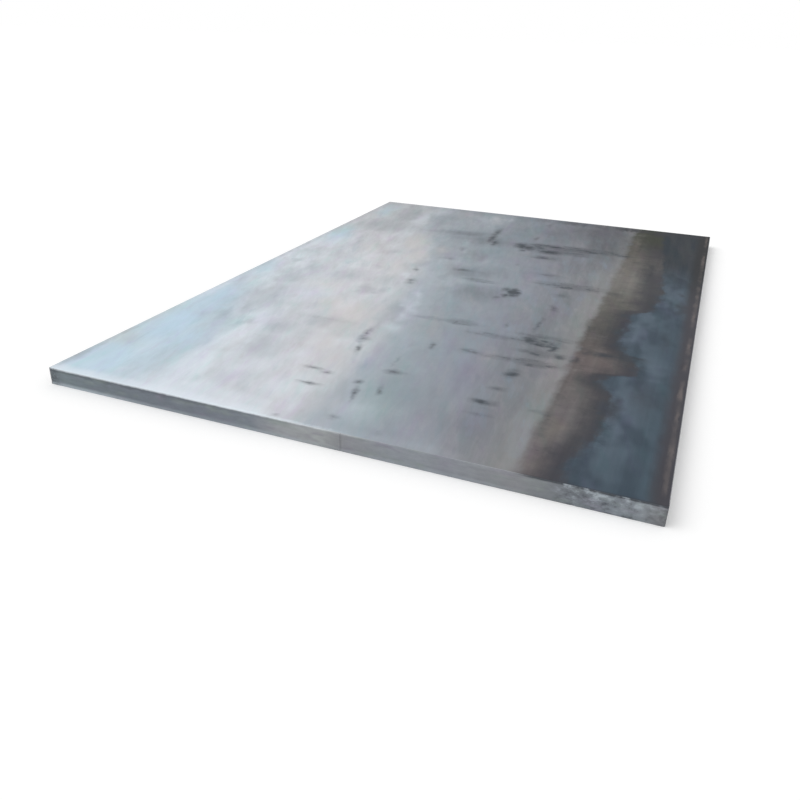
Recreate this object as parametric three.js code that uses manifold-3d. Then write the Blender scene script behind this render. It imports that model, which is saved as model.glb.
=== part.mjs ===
// Hot-rolled steel plate, cut square to size by an oxy-fuel torch.
//
// One solid, in millimetres. It lies flat with its underside on Z = 0: X runs across the plate,
// Y runs along the rolling direction, and -Y is the near cut face.

import * as THREE from 'three';
import { mergeVertices } from 'three/addons/utils/BufferGeometryUtils.js';
import Module from 'manifold-3d';

// ---- The plate ---------------------------------------------------------------------------------

const WIDTH = 2000; // across the rolling direction
const LENGTH = 3000; // along the rolling direction
const THICKNESS = 60;

// ---- Its cut edges -----------------------------------------------------------------------------

const CORNER_RADIUS = 5; // plan radius that the torch leaves where it turns a corner
const TOP_ARRIS_RADIUS = 2; // the preheat flame melts the upper arris round
const BOTTOM_ARRIS_RADIUS = 1; // the lower arris, once its slag is knocked off

// Where the flame went out and was lit again, the cut face keeps an upright groove.
const RESTARTS = [
  { offset: 91, width: 5, depth: 1.6 },
  { offset: 767, width: 12, depth: 1.1 },
];

// ---- Facets ------------------------------------------------------------------------------------

const CORNER_STEPS = 6; // each plan corner is drawn with twice as many chords
const ARRIS_STEPS = 5;
const GROOVE_STEPS = 8; // each groove is drawn with twice as many chords
const CUTTER_MARGIN = 4; // how far a cutter reaches past the faces that it opens

const PLATE_FINISH = { color: 0x8e949c, roughness: 0.5, metalness: 0.75 };

const wasm = await Module();
wasm.setup();

/** Turns a closed three.js geometry into a solid that can be cut. */
function toSolid(geometry) {
  const bare = geometry.clone();
  bare.deleteAttribute('normal');
  bare.deleteAttribute('uv');
  const merged = mergeVertices(bare);
  return new wasm.Manifold(
    new wasm.Mesh({
      numProp: 3,
      vertProperties: new Float32Array(merged.attributes.position.array),
      triVerts: new Uint32Array(merged.index.array),
    }),
  );
}

/** Turns a cut solid back into a three.js geometry with flat facets. */
function toGeometry(solid) {
  const mesh = solid.getMesh();
  const indexed = new THREE.BufferGeometry();
  indexed.setAttribute('position', new THREE.BufferAttribute(mesh.vertProperties, mesh.numProp));
  indexed.setIndex(new THREE.BufferAttribute(mesh.triVerts, 1));
  const geometry = indexed.toNonIndexed();
  geometry.computeVertexNormals();
  return geometry;
}

/** The plate's outline in plan, drawn anticlockwise and moved in from the cut faces by `inset`. */
function planOutline(inset) {
  const radius = CORNER_RADIUS - inset;
  const x = WIDTH / 2 - CORNER_RADIUS;
  const y = LENGTH / 2 - CORNER_RADIUS;
  const quarter = Math.PI / 2;
  const outline = new THREE.Shape();
  outline.absarc(x, y, radius, 0, quarter);
  outline.absarc(-x, y, radius, quarter, 2 * quarter);
  outline.absarc(-x, -y, radius, 2 * quarter, 3 * quarter);
  outline.absarc(x, -y, radius, 3 * quarter, 4 * quarter);
  return outline.getPoints(CORNER_STEPS);
}

/** Levels of the cut edge from the underside up: each has its height and its inset. */
function edgeProfile() {
  const levels = [];
  for (let step = 0; step <= ARRIS_STEPS; step += 1) {
    const turn = (step / ARRIS_STEPS) * (Math.PI / 2);
    levels.push({
      z: BOTTOM_ARRIS_RADIUS * (1 - Math.sin(turn)),
      inset: BOTTOM_ARRIS_RADIUS * (1 - Math.cos(turn)),
    });
  }
  levels.reverse();
  for (let step = 0; step <= ARRIS_STEPS; step += 1) {
    const turn = (step / ARRIS_STEPS) * (Math.PI / 2);
    levels.push({
      z: THICKNESS - TOP_ARRIS_RADIUS * (1 - Math.sin(turn)),
      inset: TOP_ARRIS_RADIUS * (1 - Math.cos(turn)),
    });
  }
  return levels;
}

/** Lofts the plan outline through the levels of the cut edge and closes both faces. */
function plateBlank() {
  const levels = edgeProfile();
  const rings = levels.map((level) => planOutline(level.inset));
  const count = rings[0].length;
  const positions = [];
  rings.forEach((ring, level) => {
    ring.forEach((point) => positions.push(point.x, point.y, levels[level].z));
  });

  const index = [];
  for (let level = 0; level < rings.length - 1; level += 1) {
    for (let i = 0; i < count; i += 1) {
      const next = (i + 1) % count;
      const low = level * count;
      const high = low + count;
      index.push(low + i, low + next, high + next);
      index.push(low + i, high + next, high + i);
    }
  }
  const top = (rings.length - 1) * count;
  THREE.ShapeUtils.triangulateShape(rings[0], []).forEach(([a, b, c]) => index.push(a, c, b));
  THREE.ShapeUtils.triangulateShape(rings.at(-1), []).forEach(([a, b, c]) => {
    index.push(top + a, top + b, top + c);
  });

  const geometry = new THREE.BufferGeometry();
  geometry.setAttribute('position', new THREE.Float32BufferAttribute(positions, 3));
  geometry.setIndex(index);
  return geometry;
}

/** The tool that leaves one restart groove: a half ellipse in plan, upright through the plate. */
function restartCutter({ offset, width, depth }) {
  const section = new THREE.Shape();
  section.moveTo(width / 2, -CUTTER_MARGIN);
  section.lineTo(width / 2, 0);
  section.absellipse(0, 0, width / 2, depth, 0, Math.PI);
  section.lineTo(-width / 2, -CUTTER_MARGIN);
  const cutter = new THREE.ExtrudeGeometry(section, {
    depth: THICKNESS + 2 * CUTTER_MARGIN,
    bevelEnabled: false,
    curveSegments: GROOVE_STEPS,
  });
  cutter.translate(offset, -LENGTH / 2, -CUTTER_MARGIN);
  return cutter;
}

/** The whole plate: the blank with its restart grooves cut into the near face. */
function buildPlate() {
  const solid = RESTARTS.reduce(
    (plate, restart) => plate.subtract(toSolid(restartCutter(restart))),
    toSolid(plateBlank()),
  );
  const plate = new THREE.Mesh(
    toGeometry(solid),
    new THREE.MeshStandardMaterial(PLATE_FINISH),
  );
  plate.name = 'plate';
  return plate;
}

const group = new THREE.Group();
group.add(buildPlate());

export default group;
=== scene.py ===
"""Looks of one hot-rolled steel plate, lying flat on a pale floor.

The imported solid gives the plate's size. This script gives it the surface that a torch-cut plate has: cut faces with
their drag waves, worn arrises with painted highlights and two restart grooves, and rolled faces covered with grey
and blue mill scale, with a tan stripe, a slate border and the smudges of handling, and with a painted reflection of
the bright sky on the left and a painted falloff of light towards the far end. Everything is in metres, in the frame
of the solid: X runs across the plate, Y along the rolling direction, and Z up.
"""

import logging
import math
from dataclasses import dataclass, replace
from enum import Enum

import bpy
import numpy as np
from mathutils import Matrix, Vector


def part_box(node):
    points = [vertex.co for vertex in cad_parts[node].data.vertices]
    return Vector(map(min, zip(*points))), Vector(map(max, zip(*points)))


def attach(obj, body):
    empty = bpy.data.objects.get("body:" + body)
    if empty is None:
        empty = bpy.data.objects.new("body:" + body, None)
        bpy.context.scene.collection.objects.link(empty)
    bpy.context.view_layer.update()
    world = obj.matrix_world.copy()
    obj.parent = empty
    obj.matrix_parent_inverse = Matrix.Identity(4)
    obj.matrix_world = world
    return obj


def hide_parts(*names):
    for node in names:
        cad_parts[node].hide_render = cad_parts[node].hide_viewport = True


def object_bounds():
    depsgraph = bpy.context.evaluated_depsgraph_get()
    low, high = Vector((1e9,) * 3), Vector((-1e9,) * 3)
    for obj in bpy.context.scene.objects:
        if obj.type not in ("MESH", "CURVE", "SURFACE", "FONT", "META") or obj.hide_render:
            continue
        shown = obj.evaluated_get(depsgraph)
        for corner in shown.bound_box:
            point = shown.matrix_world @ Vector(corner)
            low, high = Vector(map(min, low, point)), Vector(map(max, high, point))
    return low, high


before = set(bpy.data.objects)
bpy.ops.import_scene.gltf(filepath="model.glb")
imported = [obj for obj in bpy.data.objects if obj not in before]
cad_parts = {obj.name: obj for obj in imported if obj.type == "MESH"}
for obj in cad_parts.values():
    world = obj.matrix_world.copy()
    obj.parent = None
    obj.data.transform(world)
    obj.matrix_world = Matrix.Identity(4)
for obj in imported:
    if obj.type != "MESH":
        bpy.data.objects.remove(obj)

CAD_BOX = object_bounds()
MM = 0.001

# A noise texture runs from 0 to 1, mostly near its middle. These spread it out to about -1 to 1.
NOISE_GAIN, NOISE_LIFT = 3.2, -1.6
FRAY_DETAIL = 4.0
# Mill scale is duller than bare metal or glaze, so its clear reflections are weak.
SPECULAR = 0.1
# Marks reach so far above and below the face that only their plan counts, in metres.
OVAL_HEIGHT = 10.0
# Lengths in metres are rounded to a micron where equal ones must meet, and a normal this near to an axis is along it.
MICRON_DIGITS = 6
ALONG_AXIS = 0.999

Socket = bpy.types.NodeSocket
Value = float | Socket

log = logging.getLogger("plate")


# ---- Colours and shader nodes ------------------------------------------------------------------------------


@dataclass(frozen=True)
class Tint:
    """A colour as a maker reads it off a chart, each part from 0 to 255."""

    red: float
    green: float
    blue: float

    def linear(self) -> tuple[float, float, float, float]:
        """The colour in linear light with full alpha, by the standard screen curve."""
        parts = [part / 255 for part in (self.red, self.green, self.blue)]
        return (*(p / 12.92 if p <= 0.04045 else ((p + 0.055) / 1.055) ** 2.4 for p in parts), 1.0)


@dataclass(frozen=True)
class Ease:
    """A smooth change from one result to another while a value passes from low to high.

    The result is least at low and beyond it, and most at high and beyond it, whichever of the two is the larger.
    """

    low: float = 0.0
    high: float = 1.0
    least: float = 0.0
    most: float = 1.0

    def moved(self, way: float) -> "Ease":
        """Moves the range.

        Args:
            way: how far both ends move up.

        Returns:
            The moved ease.
        """
        return replace(self, low=self.low + way, high=self.high + way)


@dataclass(frozen=True)
class Weave:
    """A soft noise.

    size is how large its lumps are along X, Y and Z, in metres. detail is how many finer octaves it holds and rough
    how strong they are. shift moves it, so that two noises of one size differ, and turn turns it about Z, in degrees.
    Where levels isn't 0, it is flattened into patches, with so many levels between 0 and 1.
    """

    size: tuple[float, float, float]
    detail: float = 3.0
    rough: float = 0.5
    shift: float = 0.0
    turn: float = 0.0
    levels: float = 0.0


# Where one patch of a flattened noise passes into the next one, as a share of a level.
PATCH_BORDER = Ease(0.30, 0.70)
# The fine grain of mill scale, the same on both rolled faces, and how deep it is in units of its relief.
HAIR = Weave((0.006, 0.16, 1.0), 3.0, 0.6, 11.0)
GRAIN = Weave((0.005, 0.007, 1.0), 3.0, 0.7, 13.0)
HAIR_DEPTH, GRAIN_DEPTH = 0.25, 0.5
SCALE_RELIEF = 0.06 * MM


class Graph:
    """Writes the shader nodes of one material."""

    def __init__(self, name: str) -> None:
        """Makes an empty material.

        Args:
            name: the material's name.
        """
        self.material = bpy.data.materials.new(name)
        self.material.use_nodes = True
        self.tree = self.material.node_tree
        self.tree.nodes.clear()

    def node(self, kind: str, inputs: dict[int | str, object] | None = None, **settings: object) -> bpy.types.Node:
        """Adds a node.

        Args:
            kind: the node type without its ShaderNode prefix.
            inputs: what feeds its inputs, by their numbers or names.
            **settings: properties to set on the node.

        Returns:
            The new node.
        """
        made = self.tree.nodes.new("ShaderNode" + kind)
        for key, value in settings.items():
            setattr(made, key, value)
        for key, value in (inputs or {}).items():
            self.feed(made.inputs[key], value)
        return made

    def feed(self, socket: Socket, value: object) -> None:
        """Links a socket to another one, or sets its plain value.

        Args:
            socket: the input to fill.
            value: an output socket, a Tint or a plain value.
        """
        if isinstance(value, bpy.types.NodeSocket):
            self.tree.links.new(value, socket)
        elif isinstance(value, Tint):
            socket.default_value = value.linear()
        else:
            socket.default_value = value

    def math(self, operation: str, first: Value, second: Value = 0.0, third: Value = 0.0) -> Socket:
        """Adds a Math node.

        Args:
            operation: Blender's name of the operation.
            first: the first operand.
            second: the second operand.
            third: the third operand, for MULTIPLY_ADD.

        Returns:
            Its result.
        """
        return self.node("Math", {0: first, 1: second, 2: third}, operation=operation).outputs[0]

    def times(self, first: Value, second: Value) -> Socket:
        """Multiplies two values.

        Args:
            first: the first one.
            second: the second one.

        Returns:
            Their product.
        """
        return self.math("MULTIPLY", first, second)

    def plus(self, first: Value, second: Value) -> Socket:
        """Adds two values.

        Args:
            first: the first one.
            second: the second one.

        Returns:
            Their sum.
        """
        return self.math("ADD", first, second)

    def fused(self, first: Value, second: Value, third: Value) -> Socket:
        """Multiplies two values and adds a third, all in one node.

        Args:
            first: the first factor.
            second: the second factor.
            third: what is added.

        Returns:
            The result.
        """
        return self.math("MULTIPLY_ADD", first, second, third)

    def step(self, value: Value, ease: Ease) -> Socket:
        """Eases from one number to another as a value passes through a range.

        Args:
            value: what is looked at.
            ease: the range and the two numbers.

        Returns:
            The eased result.
        """
        ends = (ease.low, ease.high, ease.least, ease.most)
        if ease.low > ease.high:
            ends = (ease.high, ease.low, ease.most, ease.least)
        inputs = dict(enumerate((value, *ends)))
        return self.node("MapRange", inputs, interpolation_type="SMOOTHSTEP").outputs[0]

    def within(self, *spans: tuple[Value, Ease]) -> Socket:
        """How far a point lies within several ranges: the product of their eases.

        Args:
            *spans: each value with its ease.

        Returns:
            The product.
        """
        inside = self.step(*spans[0])
        for span in spans[1:]:
            inside = self.times(inside, self.step(*span))
        return inside

    def split(self, vector: Socket) -> tuple[Socket, Socket]:
        """Takes a vector apart.

        Args:
            vector: the vector.

        Returns:
            Its first two parts.
        """
        made = self.node("SeparateXYZ", {0: vector})
        return made.outputs[0], made.outputs[1]

    def place(self, origin: tuple[float, float, float], turn: float, size: tuple[float, float, float],
              source: Socket | None = None) -> Socket:
        """Coordinates counted from a point, turned and divided by a size.

        Args:
            origin: the point, in metres.
            turn: how far the frame is turned about Z, in degrees.
            size: what counts as one unit along each axis, in metres.
            source: the coordinates to start from, if not the object's own.

        Returns:
            The new coordinates.
        """
        about = (0.0, 0.0, math.radians(turn))
        made = self.node("Mapping", {"Location": origin, "Rotation": about, "Scale": size}, vector_type="TEXTURE")
        self.feed(made.inputs["Vector"], source or self.object_place())
        return made.outputs[0]

    def object_place(self) -> Socket:
        """Object coordinates, from one node shared by the whole material."""
        for made in self.tree.nodes:
            if made.bl_idname == "ShaderNodeTexCoord":
                return made.outputs["Object"]
        return self.node("TexCoord").outputs["Object"]

    def noise(self, weave: Weave) -> Socket:
        """Soft noise about zero, from about -1 to 1.

        Args:
            weave: its size and kind.

        Returns:
            The noise.
        """
        where = self.place((weave.shift, weave.shift, weave.shift), weave.turn, weave.size)
        inputs = {"Vector": where, "Scale": 1.0, "Detail": weave.detail, "Roughness": weave.rough}
        made = self.node("TexNoise", inputs, noise_dimensions="3D")
        plain = self.fused(made.outputs[0], NOISE_GAIN, NOISE_LIFT)
        return self.terrace(plain, weave.levels) if weave.levels else plain

    def terrace(self, noise: Socket, levels: float) -> Socket:
        """Flattens a noise into patches of one level each, with soft borders between them.

        The noise is counted in levels. The whole part stays, and the part left over is eased from 0 to 1.

        Args:
            noise: noise about zero.
            levels: how many levels lie between 0 and 1.

        Returns:
            The patches, still about zero.
        """
        counted = self.times(noise, levels)
        rest = self.step(self.math("FRACT", counted), PATCH_BORDER)
        return self.math("DIVIDE", self.plus(self.math("FLOOR", counted), rest), levels)

    def frayed_place(self, grain: float, reach: float) -> Socket:
        """Object coordinates pushed about by noise, so that what is laid on them gets frayed edges.

        Args:
            grain: the size of the noise's lumps, in metres.
            reach: how far a point is pushed at most, in metres.

        Returns:
            The coordinates.
        """
        where = self.place((0.0, 0.0, 0.0), 0.0, (grain, grain, grain))
        noise = self.node("TexNoise", {"Vector": where, "Scale": 1.0, "Detail": FRAY_DETAIL}, noise_dimensions="3D")
        pushes = {0: noise.outputs["Color"], 1: (2 * reach, 2 * reach, 0.0), 2: (-reach, -reach, 0.0)}
        push = self.node("VectorMath", pushes, operation="MULTIPLY_ADD").outputs[0]
        return self.node("VectorMath", {0: push, 1: self.object_place()}, operation="ADD").outputs[0]

    def curve(self, value: Value, points: tuple[tuple[float, float], ...], span: float, height: float) -> Socket:
        """A smooth function through a few points.

        Args:
            value: the run, in metres.
            points: (run, level) pairs, in millimetres.
            span: the longest run, in metres.
            height: the highest level, in metres.

        Returns:
            The level in metres.
        """
        share = self.math("DIVIDE", value, span)
        made = self.node("FloatCurve")
        line = made.mapping.curves[0]
        scaled = [(run * MM / span, level * MM / height) for run, level in points]
        line.points[0].location, line.points[1].location = scaled[0], scaled[-1]
        for run, level in scaled[1:-1]:
            line.points.new(run, level)
        made.mapping.update()
        self.feed(made.inputs["Value"], share)
        return self.times(made.outputs[0], height)

    def ramp(self, value: Value, stops: tuple[tuple[float, Tint], ...], span: float) -> Socket:
        """Runs through a row of colours.

        Args:
            value: the place on the ramp, in metres.
            stops: (place, tint) pairs, in millimetres.
            span: the length of the ramp, in metres.

        Returns:
            The colour.
        """
        share = self.math("DIVIDE", value, span)
        made = self.node("ValToRGB")
        self.feed(made.inputs[0], share)
        row = made.color_ramp.elements
        for place, tint in stops[2:]:
            row.new(place * MM / span)
        for stop, (place, tint) in zip(row, stops):
            stop.position = place * MM / span
            stop.color = tint.linear()
        return made.outputs[0]

    def blend(self, amount: Value, under: object, over: object, way: str = "MIX") -> Socket:
        """Lays one colour over another.

        Args:
            amount: how much of the upper one shows, from 0 to 1.
            under: the lower colour.
            over: the upper colour.
            way: Blender's name of the blend.

        Returns:
            The colour.
        """
        inputs = {"Factor": amount, 6: under, 7: over}
        return self.node("Mix", inputs, data_type="RGBA", blend_type=way).outputs[2]

    def brighten(self, colour: Socket, factor: Value) -> Socket:
        """Multiplies a colour by a number.

        Args:
            colour: the colour.
            factor: the number.

        Returns:
            The colour.
        """
        return self.node("VectorMath", {0: colour, "Scale": factor}, operation="SCALE").outputs[0]

    def surface(self, colour: Socket, roughness: Value, metallic: Value, height: Socket,
                reach: float) -> bpy.types.Material:
        """Closes the material with one Principled shader.

        Args:
            colour: its base colour.
            roughness: its roughness.
            metallic: its metalness.
            height: the relief, in units of reach.
            reach: how high one unit of relief stands, in metres.

        Returns:
            The finished material.
        """
        inputs = {"Base Color": colour, "Roughness": roughness, "Metallic": metallic, "Specular IOR Level": SPECULAR}
        shader = self.node("BsdfPrincipled", inputs)
        bump = self.node("Bump", {"Distance": reach, "Strength": 1.0, "Height": height})
        self.feed(shader.inputs["Normal"], bump.outputs[0])
        self.node("OutputMaterial", {"Surface": shader.outputs[0]})
        return self.material


# ---- Marks on the rolled face ------------------------------------------------------------------------------


class Stain(Enum):
    """What a mark on the rolled face does to the scale."""

    BRUISE = "bruise"  # a dark rub
    SCUFF = "scuff"  # a row of dark scuffs across the plate
    SMUDGE = "smudge"  # a soft grey patch on the pale scale
    SHADE = "shade"  # a large soft darkening
    WARM = "warm"  # a large soft warm tint
    FROST = "frost"  # a large soft blue tint, partly blue scale and partly a painted reflection of the sky
    GLINT = "glint"  # a large soft pale tint, partly pale scale and partly a painted glint of the sky
    OCHRE = "ochre"  # a lighter patch in the tan stripe
    GLOOM = "gloom"  # a darker patch in the stripe or the slate zone
    TEAL = "teal"  # a faint green cast
    LILAC = "lilac"  # a faint violet cast


@dataclass(frozen=True)
class Mark:
    """One soft oval mark, measured in millimetres from the plate's near left corner.

    across and along give its middle, wide and long its full width and length, lean its turn in degrees from the
    rolling direction, and force how strongly it shows.
    """

    across: float
    along: float
    wide: float
    long: float
    lean: float = 0.0
    force: float = 1.0


def marks(*rows: tuple[float, ...]) -> tuple[Mark, ...]:
    """Makes several marks.

    Args:
        *rows: the fields of each mark, in their order.

    Returns:
        The marks.
    """
    return tuple(Mark(*row) for row in rows)


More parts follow.
